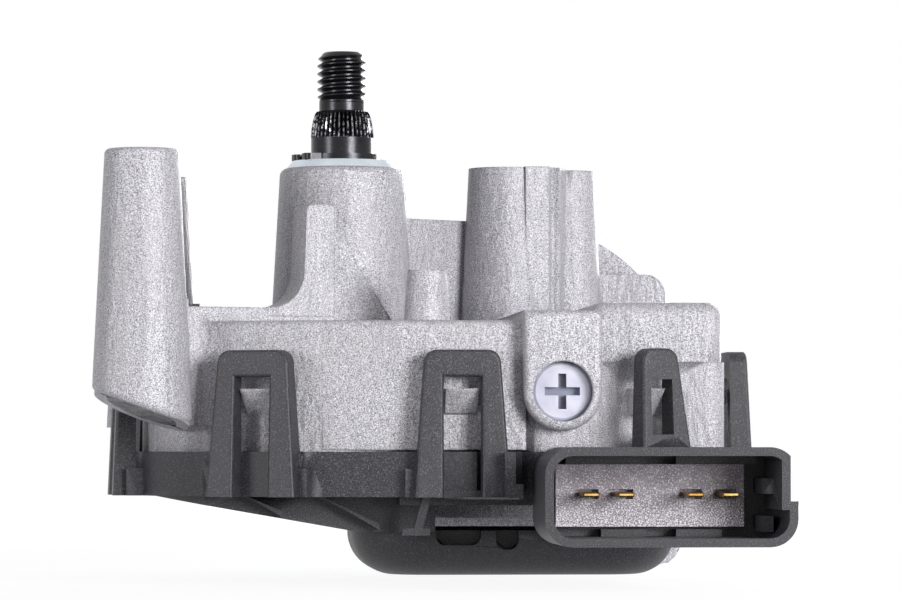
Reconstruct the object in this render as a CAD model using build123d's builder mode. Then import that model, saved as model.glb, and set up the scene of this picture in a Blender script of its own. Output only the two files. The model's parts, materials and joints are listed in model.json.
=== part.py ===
from build123d import *
import math
import os

os.makedirs("parts", exist_ok=True)

# A front wiper motor: a worm-gear case cast in aluminium, with the output shaft standing
# up out of it, a moulded cover with the connector clipped on below, and a permanent-magnet
# motor flanged on behind. Millimetres. The origin is on the output shaft's axis at the foot
# of its thread. +Z runs up the shaft and +Y runs back along the worm and the motor.
# Sizes ending in _height are measured up from the joint between the casting and its cover.

# ---- clearances and fits ----
running_gap = 0.05
end_float = 0.3
cover_fit = 0.1

# ---- output shaft ----
shaft_radius = 5.0
shaft_foot_height = 1.0
thread_foot_height = 54.9
thread_radius = 4.0
thread_length = 9.0
thread_lead_in = 1.0
neck_radius = 3.7
neck_length = 1.3
knurl_length = 3.3
knurl_top_radius = 4.4
knurl_teeth = 40
knurl_depth = 0.45
ring_groove_depth = 0.3

# ---- worm gear pair ----
wheel_pitch_radius = 27.0
wheel_teeth = 54
pressure_angle = 20.0
mesh_backlash = 0.30
tooth_addendum = 0.9
tooth_dedendum = 1.15
wheel_width = 8.0
wheel_rim = 4.5
wheel_web = 3.2
wheel_rib_count = 8
wheel_rib_width = 1.8
wheel_hub_radius = 8.0
wheel_hub_length = 11.2
hub_flange_radius = 13.5
hub_flange_thickness = 1.6
worm_pitch_radius = 5.0
worm_turns = 6.5
worm_height = 9.2
worm_run_out = 2.0

# ---- casting ----
case_clearance = 1.85
case_wall = 2.05
deck_height = 20.1
deck_thickness = 2.5
deck_round = 1.0
rim_depth = 4.0
boss_top_height = 45.2
boss_top_radius = 9.95
boss_foot_radius = 11.5
boss_round = 1.2
box_left_reach = 6.0
box_right_reach = 25.4
box_front = -34.0
box_back = 30.0
box_rise = 2.8
box_corner = 3.2
box_top_round = 2.2
box_ledge_drop = 6.4
box_ledge_width = 0.45
upper_box_offset = 4.5
ridge_rise = 1.4
ridge_round = 1.0
box_wall = 2.5
worm_trough_radius = 7.2
trough_front = -19.0
trough_back = 22.0
side_room_wall = 3.0
neck_lift = 0.8
ear_bearing = -45.0
plug_boss_front = -37.5
neck_half_width = 23.4
neck_half_height = 20.4
neck_corner = 3.5
neck_wall = 2.6
neck_front = 28.5
neck_cover_gap = 34.2
flange_y = 58.0
flange_thickness = 3.0
flange_radius = 30.7
flange_half_height = 28.6

# ---- mounting posts of the casting ----
post_top_height = 46.6
post_draft = 0.05
front_post_x = -32.0
front_post_y = -25.0
front_post_radius = 5.75
front_post_foot_height = 3.0
rear_post_x = -30.0
rear_post_y = 48.0
rear_post_radius = 5.8
rear_post_foot_height = 4.0
tower_x = 28.0
tower_y = 20.0
tower_radius = 6.2
side_column_x = 38.7
side_column_y = 27.0
side_column_radius = 4.6
post_hole_radius = 2.55
post_hole_depth = 14.0
post_core_radius = 5.4
post_round = 0.8
post_foot_round = 1.0
pip_x = 12.0
pip_y = -25.0
pip_foot_radius = 3.75
pip_top_radius = 3.05
pip_rise = 7.9
web_thickness = 5.0
web_y = -12.5
web_height = 23.6
web_foot_height = 4.0
web_corner_round = 4.0
gusset_height = 38.6
gusset_slope_height = 35.9
gusset_width = 4.1
gusset_right = -2.4
gusset_foot = 7.4
gusset_depth = 9.0
gusset_round = 1.0
web_rise_radius = 6.0
slope_high = 11.5
slope_low = 2.0
slope_reach = 13.0
back_web_height = 38.0
back_web_thickness = 4.5
back_web_front_y = 7.2
back_web_tower_x = 24.0
back_web_tower_y = 25.5
tower_flat_reach = 8.7
tower_flat_depth = 4.4
tower_flat_round = 1.1
tower_bridge_width = 7.0
arm_width = 9.0
arm_foot_height = 8.0
arm_top_height = 25.0
arm_end_x = -12.0
arm_end_y = 22.0

# ---- cover ----
skirt_depth = 6.9
skirt_wall = 1.5
floor_thickness = 2.0
clip_foot_thickness = 3.6
clip_top_thickness = 2.7
clip_height = 15.5
clip_base_width = 14.7
clip_top_width = 11.4
clip_corner = 2.0
clip_round = 0.5
clip_rib_width = 1.3
clip_rib_thickness = 1.6
clip_rib_height = -2.6
window_width = 5.8
window_height = 11.4
corner_clip_height = 15.7
corner_clip_foot_left = 3.5
corner_clip_top_left = 3.0
corner_clip_top_right = 3.0
corner_clip_foot_right = 5.1
corner_window_width = 3.8
corner_window_height = 11.0
corner_window_foot = 1.9
catch_play = 0.8
catch_ledge_height = 9.6
catch_foot_height = 5.6
catch_overlap = 1.6
catch_root = 2.6
corner_catch_root = 5.0
round_clip_bearings = (95, 150, 184, 245, 299)
side_clip_y = -20.0
corner_clip_x = 45.4
corner_clip_stand_off = 1.9
corner_clip_bearing = 295
belly_left = 1.4
belly_right_inset = 4.4
belly_front = -15.0
belly_back = 24.0
belly_depth = 19.5
belly_step_depth = 12.4
belly_corner = 12.0
belly_round = 6.6
belly_wall = 3.1
belly_neck_inset = 4.0
keel_left = -30.0
keel_front = -23.0
keel_back = 20.0
keel_rib_depth = 3.0
keel_rib_thickness = 0.9
keel_rib_runs = (((-16.6, -6.9), (-10.3, -10.1)), ((-5.2, -6.9), (4.6, -12.0)))
floor_pad_left = 7.5
floor_pad_right = 28.3
floor_pad_front = -30.5
floor_pad_back = -14.0
floor_pad_depth = 8.2
hook_top_x = 10.9
hook_foot_x = 9.3
hook_width = 1.3
hook_front = -32.0
hook_thickness = 1.6
hook_foot_depth = 12.8
hook_foot_width = 4.2
hook_foot_thickness = 1.1
pocket_cut = 3.0
pockets = ((17.6, 7.1, 14.7), (25.3, 3.6, 15.4))

# ---- connector ----
shroud_left = 27.4
shroud_right = 65.0
shroud_front = -57.0
shroud_back = -36.0
shroud_top_height = 0.7
shroud_bottom_height = -14.1
shroud_corner = 4.2
shroud_wall = 1.3
shroud_floor = 2.6
shroud_step_width = 1.15
shroud_step_height = -7.3
shroud_root_left = 31.0
shroud_root_right = 52.0
pin_block_left = 30.4
pin_block_right = 59.0
pin_block_top_height = -1.9
pin_block_bottom_height = -11.3
pin_block_thickness = 2.9
pin_block_panel_left = 31.9
pin_block_panel_right = 57.9
pin_block_panel_top = -3.5
pin_block_panel_bottom = -5.7
pin_block_panel_sink = 0.4
pin_slot_width = 3.6
pin_slot_height = 1.5
pin_slot_depth = 2.0
shroud_rib_depth = 3.6
top_rib_foot_height = -1.8
bottom_rib_top_height = -11.7
top_ribs = ((31.9, 44.0), (48.6, 60.8))
bottom_ribs = ((37.2, 44.0), (48.6, 55.5))
side_tab_width = 1.7
side_tab_reach = 9.6
side_tabs = ((-6.3, -4.0), (-12.0, -9.6))
pin_height = -6.4
pin_front = -48.6
pin_width = 2.4
pin_thickness = 0.6
pin_root = -35.2
pin_pitch = 5.25
pin_middle_shift = 0.9

# ---- motor ----
can_radius = 29.6
can_wall = 1.5
can_back = 124.0
can_back_round = 7.0
can_flange_radius = 32.3
can_flange_half_height = 29.9
can_flange_thickness = 1.8
rear_pocket_radius = 9.5
rear_pocket_depth = 6.0
ear_circle_radius = 34.4
ear_radius = 5.0
ear_hole_radius = 2.1
magnet_length = 46.0
magnet_y = 66.0
magnet_thickness = 5.0
magnet_angle = 134.0
air_gap = 0.7
core_length = 38.0
core_slots = 12
core_slot_width = 2.2
core_slot_depth = 8.5
core_hub_radius = 9.0
winding_overhang = 7.0
worm_shaft_radius = 4.0
journal_radius = 3.0
commutator_radius = 10.5
commutator_length = 13.0
commutator_y = 47.0
commutator_bars = 12
bush_wall = 2.0
neck_bush_wall = 2.0
thread_bite = 0.1
shaft_tip_chamfer = 0.6
bar_gap_depth = 1.6
bar_gap_width = 0.7
winding_inset = 2.4
winding_round = 2.5
worm_bush_length = 6.0
rear_bush_radius = 7.0
brush_height = 6.0
brush_width = 5.0
brush_length = 6.0
brush_bearings = (0, 180, 56)
brush_names = ("brush_common", "brush_low_speed", "brush_high_speed")
brush_plate_radius = 24.0
brush_plate_thickness = 2.0
brush_plate_gap = 1.5
holder_wall = 0.8
holder_length = 4.5
spring_thickness = 0.5
pocket_round = 1.5
retainer_thickness = 0.5

# ---- small parts ----
washer_thickness = 1.2
washer_radius = 9.0
washer_top_radius = 8.0
ring_thickness = 1.0
ring_radius = 5.9
ring_bearing = 200
ring_gap = 1.6
ring_lug_length = 3.4
ring_lug_width = 2.6
ring_lug_spread = 2.2
ring_hole_radius = 0.6
seal_thickness = 1.9
seal_radius = 7.6
output_bush_radius = 7.0
upper_bush_length = 8.5
lower_bush_length = 9.5
thrust_washer_radius = 8.6
thrust_washer_thickness = 0.8
plug_radius = 4.5
plug_length = 5.8
plug_recess = 2.0
plug_chamfer = 0.4
plug_bore_play = 0.1
pad_radius = 3.2
pad_thickness = 1.0
plug_cross_length = 5.4
plug_cross_width = 1.25
plug_cross_depth = 1.6
park_disc_thickness = 0.8
park_disc_radius = 22.0
park_disc_bore = 15.0
screw_head_radius = 3.9
screw_head_height = 3.0
screw_radius = 2.0
carrier_inset = 5.75
carrier_length = 7.0
carrier_width = 16.0
carrier_thickness = 1.5
contact_pitch = 4.5
contact_width = 2.0
contact_thickness = 0.35
contact_foot = 3.0
contact_reach = 4.0
contact_gap = 0.3

# ---- places worked out from the sizes above ----
joint_z = -thread_foot_height


def up(height):
    """Turn a height above the cover joint into a height in the model's frame."""
    return joint_z + height


def level(height):
    """Horizontal plane at a height above the cover joint."""
    return Plane.XY.offset(up(height))


def across(y):
    """Upright plane facing the front at a distance back, with sketch axes X and Z."""
    return Plane.XZ.offset(-y)


def outward(x, y, bearing):
    """Upright plane facing a bearing, with sketch axes along the wall and up."""
    turn = math.radians(bearing)
    return Plane(
        origin=(x, y, joint_z),
        x_dir=(-math.sin(turn), math.cos(turn), 0),
        z_dir=(math.cos(turn), math.sin(turn), 0),
    )


def finish(piece, label):
    """Label a piece and write its file."""
    piece.part.label = label
    export_step(piece.part, "parts/" + label + ".step")


tooth_pitch = 2 * math.pi * wheel_pitch_radius / wheel_teeth
lead_slope = tooth_pitch / (2 * math.pi * worm_pitch_radius)
flank_slope = math.tan(math.radians(pressure_angle))
half_tooth = (tooth_pitch - mesh_backlash) / 4
wheel_tip_radius = wheel_pitch_radius + tooth_addendum
wheel_root_radius = wheel_pitch_radius - tooth_dedendum
wheel_hollow_radius = wheel_root_radius - wheel_rim
wheel_foot = worm_height - wheel_width / 2
worm_x = wheel_pitch_radius + worm_pitch_radius
worm_z = up(worm_height)
worm_root_radius = worm_pitch_radius - tooth_dedendum
worm_half_length = worm_turns * tooth_pitch / 2
worm_tooth_height = tooth_addendum + tooth_dedendum + thread_bite
worm_tip_half_width = half_tooth - tooth_addendum * flank_slope
worm_foot_half_width = half_tooth + (tooth_dedendum + thread_bite) * flank_slope
motor_axis = Axis((worm_x, 0, worm_z), (0, 1, 0))
motor_plane = Plane(origin=(worm_x, 0, worm_z), x_dir=(1, 0, 0), z_dir=(0, 0, 1))
foot_align = (Align.CENTER, Align.CENTER, Align.MIN)
top_align = (Align.CENTER, Align.CENTER, Align.MAX)

cavity_radius = wheel_tip_radius + case_clearance
case_radius = cavity_radius + case_wall
carrier_x = carrier_inset - cavity_radius
box_left = worm_x - box_left_reach
box_right = worm_x + box_right_reach
box_height = deck_height + box_rise
box_ledge_height = deck_height - box_ledge_drop
upper_box_left = worm_x + upper_box_offset
upper_box_right = box_right - box_ledge_width
ridge_height = deck_height + ridge_rise
belly_right = box_right - belly_right_inset
ceiling_height = deck_height - deck_thickness
box_width = box_right - box_left
box_length = box_back - box_front
box_x = (box_left + box_right) / 2
box_y = (box_front + box_back) / 2
worm_block_left = worm_x - worm_trough_radius - box_wall
worm_block_width = worm_x + box_left_reach - worm_block_left
worm_block_length = box_back
worm_block_x = worm_block_left + worm_block_width / 2
worm_block_y = box_back / 2
side_room_left = worm_x + worm_trough_radius + side_room_wall
side_room_right = box_right - box_wall
web_end_x = gusset_right - front_post_x
web_end_y = web_y - front_post_y
web_length = math.hypot(web_end_x, web_end_y)
web_plane = outward(front_post_x, front_post_y, math.degrees(math.atan2(web_end_y, web_end_x)) - 90)
tower_pitch = math.hypot(side_column_x - tower_x, side_column_y - tower_y)
tower_bearing = math.degrees(math.atan2(side_column_y - tower_y, side_column_x - tower_x))
tower_mid_x = (tower_x + side_column_x) / 2
tower_mid_y = (tower_y + side_column_y) / 2
back_web_rise = back_web_tower_y - back_web_front_y
back_web_length = math.hypot(back_web_tower_x, back_web_rise)
back_web_bearing = math.degrees(math.atan2(back_web_rise, back_web_tower_x))
arm_length = math.hypot(arm_end_x - rear_post_x, arm_end_y - rear_post_y)
arm_bearing = math.degrees(math.atan2(arm_end_y - rear_post_y, arm_end_x - rear_post_x))
arm_mid_x = (arm_end_x + rear_post_x) / 2
arm_mid_y = (arm_end_y + rear_post_y) / 2
post_places = ((front_post_x, front_post_y), (rear_post_x, rear_post_y), (tower_x, tower_y))

skirt_radius = case_radius + cover_fit + skirt_wall
belly_x = (belly_left + belly_right) / 2
belly_y = (belly_front + belly_back) / 2
belly_width = belly_right - belly_left
belly_length = belly_back - belly_front
shroud_x = (shroud_left + shroud_right) / 2
shroud_width = shroud_right - shroud_left
shroud_height = shroud_top_height - shroud_bottom_height
shroud_mid_height = (shroud_top_height + shroud_bottom_height) / 2
pin_block_front = shroud_back - shroud_floor - pin_block_thickness
pin_block_x = (pin_block_left + pin_block_right) / 2
pin_block_mid_height = (pin_block_top_height + pin_block_bottom_height) / 2
pin_middle_x = pin_block_x + pin_middle_shift
pin_places = [(pin_middle_x + pin_pitch * step, up(pin_height)) for step in (-2, -1, 1, 2)]

washer_z = up(boss_top_height)
ring_z = washer_z + washer_thickness + running_gap
seal_z = washer_z - seal_thickness
knurl_foot_z = -neck_length - knurl_length
bush_bore = shaft_radius + running_gap
hub_top_z = up(wheel_foot - hub_flange_thickness + wheel_hub_length)
lower_bush_z = hub_top_z + thrust_washer_thickness + end_float
lower_bush_top = lower_bush_z + lower_bush_length - joint_z
boss_bores = (
    (ceiling_height, boss_top_height, shaft_radius + end_float),
    (ceiling_height, lower_bush_top, output_bush_radius),
    (boss_top_height - seal_thickness - upper_bush_length, boss_top_height, output_bush_radius),
    (boss_top_height - seal_thickness, boss_top_height, seal_radius),
)

plug_front = plug_boss_front + plug_recess
plug_back = plug_front + plug_length
pad_back = plug_back + pad_thickness
worm_shaft_front = pad_back + end_float
worm_bush_front = trough_front - worm_bush_length
neck_bush_radius = worm_shaft_radius + neck_bush_wall
worm_bores = (
    (plug_boss_front, plug_back, plug_radius + plug_bore_play),
    (plug_back, worm_bush_front, journal_radius + end_float),
    (worm_bush_front, trough_front, journal_radius + bush_wall),
    (trough_back, trough_back + worm_bush_length, neck_bush_radius),
    (trough_back + worm_bush_length, neck_front + neck_wall, worm_shaft_radius + end_float),
)

can_floor = can_back - can_wall
rear_bush_front = can_floor + end_float
rear_bush_back = can_back + rear_pocket_depth - can_wall
magnet_outer_radius = can_radius - can_wall - running_gap
magnet_inner_radius = magnet_outer_radius - magnet_thickness
core_radius = magnet_inner_radius - air_gap
core_y = magnet_y + (magnet_length - core_length) / 2
winding_back = core_y + core_length + winding_overhang
bar_bearing = 180 / commutator_bars
brush_front = flange_y - brush_plate_thickness - brush_height
spring_width = brush_width + 2 * holder_wall
brush_back_radius = commutator_radius + end_float + brush_length
carrier_top_z = up(-skirt_depth + floor_thickness + carrier_thickness)
contact_tip_z = up(wheel_foot) - park_disc_thickness - contact_gap

# Feet of the clips: round the gear case, on the right side, and at the front corner.
wide_clip_places = []
for clip_bearing in round_clip_bearings:
    clip_turn = math.radians(clip_bearing)
    clip_x = skirt_radius * math.cos(clip_turn)
    clip_y = skirt_radius * math.sin(clip_turn)
    wide_clip_places.append(outward(clip_x, clip_y, clip_bearing))
side_clip_x = box_right + cover_fit + skirt_wall
wide_clip_places.append(outward(side_clip_x, side_clip_y, 0))
corner_clip_y = box_front - cover_fit - skirt_wall - corner_clip_stand_off
corner_clip_place = outward(corner_clip_x, corner_clip_y, corner_clip_bearing)


# ---- gear housing ----
def tapered_post(x, y, radius, foot_height):
    """Stand a drafted post up to the height that the posts share."""
    height = post_top_height - foot_height
    with Locations((x, y, up(foot_height))):
        Cone(radius + post_draft * height, radius, height, align=foot_align)


def slanted_foot_cut():
    """Cut away what is below the slanted underside of the front post and its web."""
    with BuildSketch(across(front_post_y)) as below:
        with BuildLine():
            Polyline(
                (front_post_x - slope_reach, up(slope_high)),
                (front_post_x + slope_reach, up(slope_low)),
                (front_post_x + slope_reach, up(-slope_high)),
                (front_post_x - slope_reach, up(-slope_high)),
                close=True,
            )
        make_face()
    extrude(below.sketch, amount=slope_reach, both=True, mode=Mode.SUBTRACT)


def catch(place, root, window):
    """Wedge on the casting that a clip's window snaps over."""
    side = Plane(origin=place.origin, x_dir=place.z_dir, z_dir=-place.x_dir)
    with BuildSketch(side) as wedge:
        with BuildLine():
            Polyline(
                (-root, catch_foot_height),
                (-skirt_wall - cover_fit, catch_foot_height),
                (catch_overlap, catch_ledge_height),
                (-root, catch_ledge_height),
                close=True,
            )
        make_face()
    extrude(wedge.sketch, amount=(window - catch_play) / 2, both=True)


def motor_flange_outline(radius, half_height):
    """Round flange with two ears for the motor's screws, and a flat above and below."""
    with Locations((worm_x, worm_z)):
        Circle(radius)
        with PolarLocations(ear_circle_radius, 2, start_angle=ear_bearing):
            Circle(ear_radius)
    make_hull()
    with Locations((worm_x, worm_z)):
        Rectangle(2 * (ear_circle_radius + ear_radius), 2 * half_height, mode=Mode.INTERSECT)


def neck_outline(inset):
    """Rounded section of the neck between the gear case and the motor."""
    with Locations((worm_x, worm_z)):
        RectangleRounded(
            2 * (neck_half_width - inset),
            2 * (neck_half_height - inset),
            neck_corner - inset,
        )


def neck_outline_above(inset, height):
    """The part of the neck's section that clears the cover."""
    neck_outline(inset)
    with Locations((worm_x, up(height))):
        Rectangle(
            2 * neck_half_width,
            2 * neck_half_height,
            align=(Align.CENTER, Align.MIN),
            mode=Mode.INTERSECT,
        )


with BuildPart() as gear_housing:
    # front post and the web that runs from it to the output boss
    tapered_post(front_post_x, front_post_y, front_post_radius, front_post_foot_height)
    fillet(gear_housing.edges().group_by(Axis.Z)[-1], post_round)
    slanted_foot_cut()
    fillet(gear_housing.edges().filter_by(GeomType.ELLIPSE), post_foot_round)
    with BuildSketch(web_plane):
        with BuildLine():
            FilletPolyline(
                (0, web_height),
                (web_length - gusset_width, web_height),
                (web_length - gusset_width, gusset_height),
                (web_length, gusset_height),
                radius=[web_rise_radius, gusset_round],
            )
            Polyline(
                (web_length, gusset_height),
                (web_length, web_foot_height),
                (0, web_foot_height),
                (0, web_height),
            )
        make_face()
    extrude(amount=web_thickness / 2, both=True)
    slanted_foot_cut()
    # round gear case, its rim standing down inside the cover's skirt
    with BuildSketch(level(-rim_depth)):
        Circle(case_radius)
    extrude(amount=rim_depth + deck_height)
    web_corner = gear_housing.edges().filter_by(Axis.Z).sort_by(Axis.Y)[0]
    fillet(web_corner, web_corner_round)
    rims = gear_housing.edges().filter_by(GeomType.CIRCLE)
    fillet(rims.filter_by_position(Axis.Z, up(deck_height) - 0.01, up(deck_height) + 0.01), deck_round)
    # box over the connector: a wider lower wall, a ledge, and the upper part set in
    with BuildSketch(level(-rim_depth)):
        with Locations((box_x, box_y)):
            RectangleRounded(box_width, box_length, box_corner)
    extrude(amount=rim_depth + box_ledge_height)
    with BuildSketch(level(-rim_depth)):
        with Locations(((box_left + upper_box_right) / 2, box_y)):
            RectangleRounded(
                upper_box_right - box_left, box_length - 2 * box_ledge_width, box_corner - box_ledge_width
            )
    extrude(amount=rim_depth + deck_height)
    with BuildSketch(level(-rim_depth)):
        with Locations((worm_block_x, worm_block_y)):
            RectangleRounded(worm_block_width, worm_block_length, box_corner)
    extrude(amount=rim_depth + deck_height)
    with BuildSketch(level(ceiling_height)):
        with Locations(((upper_box_left + upper_box_right) / 2, box_y)):
            RectangleRounded(
                upper_box_right - upper_box_left,
                box_length - 2 * box_ledge_width,
                box_corner - box_ledge_width,
            )
    extrude(amount=box_height - ceiling_height)
    box_edges = gear_housing.edges().filter_by_position(Axis.Z, up(box_height) - 0.01, up(box_height) + 0.01)
    fillet(box_edges.filter_by_position(Axis.X, upper_box_left - 0.01, box_right), box_top_round)
    # ridge over the worm, ending in the housing of the thrust plug
    with BuildSketch(level(ceiling_height)):
        with Locations((box_left, plug_boss_front)):
            Rectangle(
                2 * box_left_reach,
                box_back - plug_boss_front,
                align=(Align.MIN, Align.MIN),
            )
    extrude(amount=ridge_height - ceiling_height)
    with BuildSketch(across(plug_boss_front)):
        with Locations((worm_x, worm_z)):
            Circle(box_left_reach)
            Rectangle(
                2 * box_left_reach,
                ridge_height - worm_height,
                align=(Align.CENTER, Align.MIN),
            )
    extrude(amount=-(trough_front - plug_boss_front))
    boss_face = gear_housing.faces().sort_by(Axis.Y)[0]
    fillet(boss_face.outer_wire().edges(), ridge_round)
    # boss of the output shaft
    with Locations((0, 0, up(ceiling_height))):
        Cone(boss_foot_radius, boss_top_radius, boss_top_height - ceiling_height, align=foot_align)
    boss_top = gear_housing.edges().filter_by_position(Axis.Z, washer_z - 0.01, washer_z + 0.01)
    fillet(boss_top, boss_round)
    # gusset that braces the web's end against the boss
    with BuildSketch(across(web_y - web_thickness / 2)):
        with BuildLine():
            Polyline(
                (gusset_right, up(ceiling_height)),
                (gusset_right, up(gusset_slope_height)),
                (gusset_foot, up(deck_height)),
                (gusset_foot, up(ceiling_height)),
                close=True,
            )
        make_face()
    extrude(amount=-gusset_depth)
    # small tapered pip on the deck
    with Locations((pip_x, pip_y, up(ceiling_height))):
        Cone(pip_foot_radius, pip_top_radius, deck_height + pip_rise - ceiling_height, align=foot_align)
    # twin column on the right, and the web that ties it to the boss
    tapered_post(tower_x, tower_y, tower_radius, ceiling_height)
    tapered_post(side_column_x, side_column_y, side_column_radius, ceiling_height)
    with BuildSketch(level(ceiling_height)):
        with Locations(Location((tower_mid_x, tower_mid_y, 0), (0, 0, tower_bearing))):
            Rectangle(tower_pitch, tower_bridge_width)
        with Locations((tower_x + tower_flat_reach / 2, tower_y)):
            RectangleRounded(tower_flat_reach, 2 * tower_flat_depth, tower_flat_round)
    extrude(amount=post_top_height - ceiling_height)
    with BuildSketch(level(ceiling_height)):
        with Locations(
            Location(
                (back_web_tower_x / 2, back_web_front_y + back_web_rise / 2, 0), (0, 0, back_web_bearing)
            )
        ):
            Rectangle(back_web_length, back_web_thickness)
    extrude(amount=back_web_height - ceiling_height)
    # rear post on its arm
    tapered_post(rear_post_x, rear_post_y, rear_post_radius, rear_post_foot_height)
    with BuildSketch(level(arm_foot_height)):
        with Locations(Location((arm_mid_x, arm_mid_y, 0), (0, 0, arm_bearing))):
            Rectangle(arm_length, arm_width)
    extrude(amount=arm_top_height - arm_foot_height)
    # neck and flange for the motor
    with BuildSketch(across(neck_cover_gap)):
        neck_outline(0)
    extrude(amount=-(flange_y - neck_cover_gap))
    with BuildSketch(across(neck_front)):
        neck_outline_above(0, neck_lift)
    extrude(amount=-(neck_cover_gap - neck_front))
    with BuildSketch(across(flange_y - flange_thickness)):
        motor_flange_outline(flange_radius, flange_half_height)
    extrude(amount=-flange_thickness)
    # catches for the cover's clips
    for place in wide_clip_places:
        catch(place, catch_root, window_width)
    catch(corner_clip_place, corner_catch_root, corner_window_width)

    # room for the worm wheel, the worm and the conductors
    with BuildSketch(level(-rim_depth)):
        Circle(cavity_radius)
    extrude(amount=rim_depth + ceiling_height, mode=Mode.SUBTRACT)
    with BuildSketch(across(trough_front)):
        with Locations((worm_x, worm_z)):
            Circle(worm_trough_radius)
            Rectangle(
                2 * worm_trough_radius,
                worm_height + rim_depth,
                align=(Align.CENTER, Align.MAX),
            )
    extrude(amount=-(trough_back - trough_front), mode=Mode.SUBTRACT)
    with BuildSketch(level(-rim_depth)):
        with Locations(((side_room_left + side_room_right) / 2, box_y)):
            RectangleRounded(
                side_room_right - side_room_left, box_length - 2 * box_wall, box_corner - box_wall
            )
    extrude(amount=rim_depth + box_height - box_wall, mode=Mode.SUBTRACT)
    with BuildSketch(across(neck_cover_gap + neck_wall)):
        neck_outline(neck_wall)
    extrude(amount=-(flange_y - neck_cover_gap - neck_wall), mode=Mode.SUBTRACT)
    with BuildSketch(across(neck_front + neck_wall)):
        neck_outline_above(neck_wall, neck_lift + neck_wall)
    extrude(amount=-(neck_cover_gap - neck_front), mode=Mode.SUBTRACT)
    # seats along the worm's axis: plug thread, thrust pad, front bush and neck bush
    for start, end, radius in worm_bores:
        with BuildSketch(across(start)):
            with Locations((worm_x, worm_z)):
                Circle(radius)
        extrude(amount=-(end - start), mode=Mode.SUBTRACT)
    # seat of the brush plate in the flange
    with BuildSketch(across(flange_y - brush_plate_thickness)):
        with Locations((worm_x, worm_z)):
            Circle(brush_plate_radius + cover_fit)
    extrude(amount=-brush_plate_thickness, mode=Mode.SUBTRACT)
    # stepped bore of the output boss: clearance, two bush seats and the seal's recess
    for foot, top, radius in boss_bores:
        with BuildSketch(level(foot)):
            Circle(radius)
        extrude(amount=top - foot, mode=Mode.SUBTRACT)
    # screw holes down the posts, and the cored underside of the two outer ones
    for x, y in post_places:
        with Locations((x, y, up(post_top_height))):
            Cylinder(post_hole_radius, post_hole_depth, align=top_align, mode=Mode.SUBTRACT)
    for x, y in post_places[:2]:
        with Locations((x, y, up(front_post_foot_height))):
            Cone(
                post_core_radius,
                post_hole_radius,
                post_top_height - post_hole_depth - front_post_foot_height,
                align=foot_align,
                mode=Mode.SUBTRACT,
            )
    # screw holes of the motor's ears
    with BuildSketch(across(flange_y - flange_thickness)):
        with Locations((worm_x, worm_z)):
            with PolarLocations(ear_circle_radius, 2, start_angle=ear_bearing):
                Circle(screw_radius + cover_fit)
    extrude(amount=-flange_thickness, mode=Mode.SUBTRACT)
finish(gear_housing, "gear_housing")

# ---- cover with its clips and connector ----
def cover_outline(growth, mode=Mode.ADD):
    """Outline of the joint between the casting and its cover."""
    Circle(case_radius + growth, mode=mode)
    with Locations((box_x, box_y)):
        RectangleRounded(box_width + 2 * growth, box_length + 2 * growth, box_corner + growth, mode=mode)
    with Locations((worm_block_x, worm_block_y)):
        RectangleRounded(
            worm_block_width + 2 * growth, worm_block_length + 2 * growth, box_corner + growth, mode=mode
        )


def shroud_outline(inset):
    """Outline of the connector's shroud, its upper part stepped in on the right."""
    with Locations((shroud_x, up(shroud_mid_height))):
        RectangleRounded(shroud_width - 2 * inset, shroud_height - 2 * inset, shroud_corner - inset)
    with Locations((shroud_right - shroud_step_width - inset, up(shroud_step_height - inset))):
        Rectangle(shroud_width, shroud_height, align=(Align.MIN, Align.MIN), mode=Mode.SUBTRACT)


clip_rib_span = clip_base_width + 2 * clip_rib_width
wide_clip_edges = (-clip_base_width / 2, -clip_top_width / 2, clip_top_width / 2, clip_base_width / 2)
corner_clip_edges = (
    -corner_clip_foot_left,
    -corner_clip_top_left,
    corner_clip_top_right,
    corner_clip_foot_right,
)
corner_clip_foot = shroud_top_height - shroud_wall / 2
clip_shapes = [
    (place, -skirt_depth, clip_height, wide_clip_edges, (-skirt_depth, window_height, window_width))
    for place in wide_clip_places
]
clip_shapes.append(
    (
        corner_clip_place,
        corner_clip_foot,
        corner_clip_height,
        corner_clip_edges,
        (shroud_top_height + corner_window_foot, corner_window_height, corner_window_width),
    )
)
# Upstanding spring clips: flared plates, thinner at the top, each with a tall window.
clips = []
for place, foot, top, edges, window in clip_shapes:
    window_foot, window_top, window_opening = window
    with BuildPart() as blade:
        with BuildSketch(place):
            with BuildLine():
                FilletPolyline(
                    (edges[0], foot), (edges[1], top), (edges[2], top), (edges[3], foot), radius=clip_corner
                )
                Line((edges[3], foot), (edges[0], foot))
            make_face()
            with Locations((0, window_top)):
                Rectangle(
                    window_opening, window_top - window_foot, align=top_align[1:], mode=Mode.SUBTRACT
                )
        extrude(amount=clip_foot_thickness)
        with BuildSketch(Plane(origin=place.origin, x_dir=place.z_dir, z_dir=-place.x_dir)):
            with BuildLine():
                Polyline(
                    (clip_top_thickness, top),
                    (clip_foot_thickness, foot),
                    (2 * clip_foot_thickness, foot),
                    (2 * clip_foot_thickness, top),
                    close=True,
                )
            make_face()
        extrude(amount=clip_base_width, both=True, mode=Mode.SUBTRACT)
        outer_face = blade.faces().sort_by(Axis(place.origin, place.z_dir))[-1]
        outer_edges = outer_face.outer_wire().edges()
        fillet(outer_edges.filter_by_position(Axis.Z, up(foot) + clip_round, up(top) + 1), clip_round)
    clips.append(blade.part)


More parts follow.
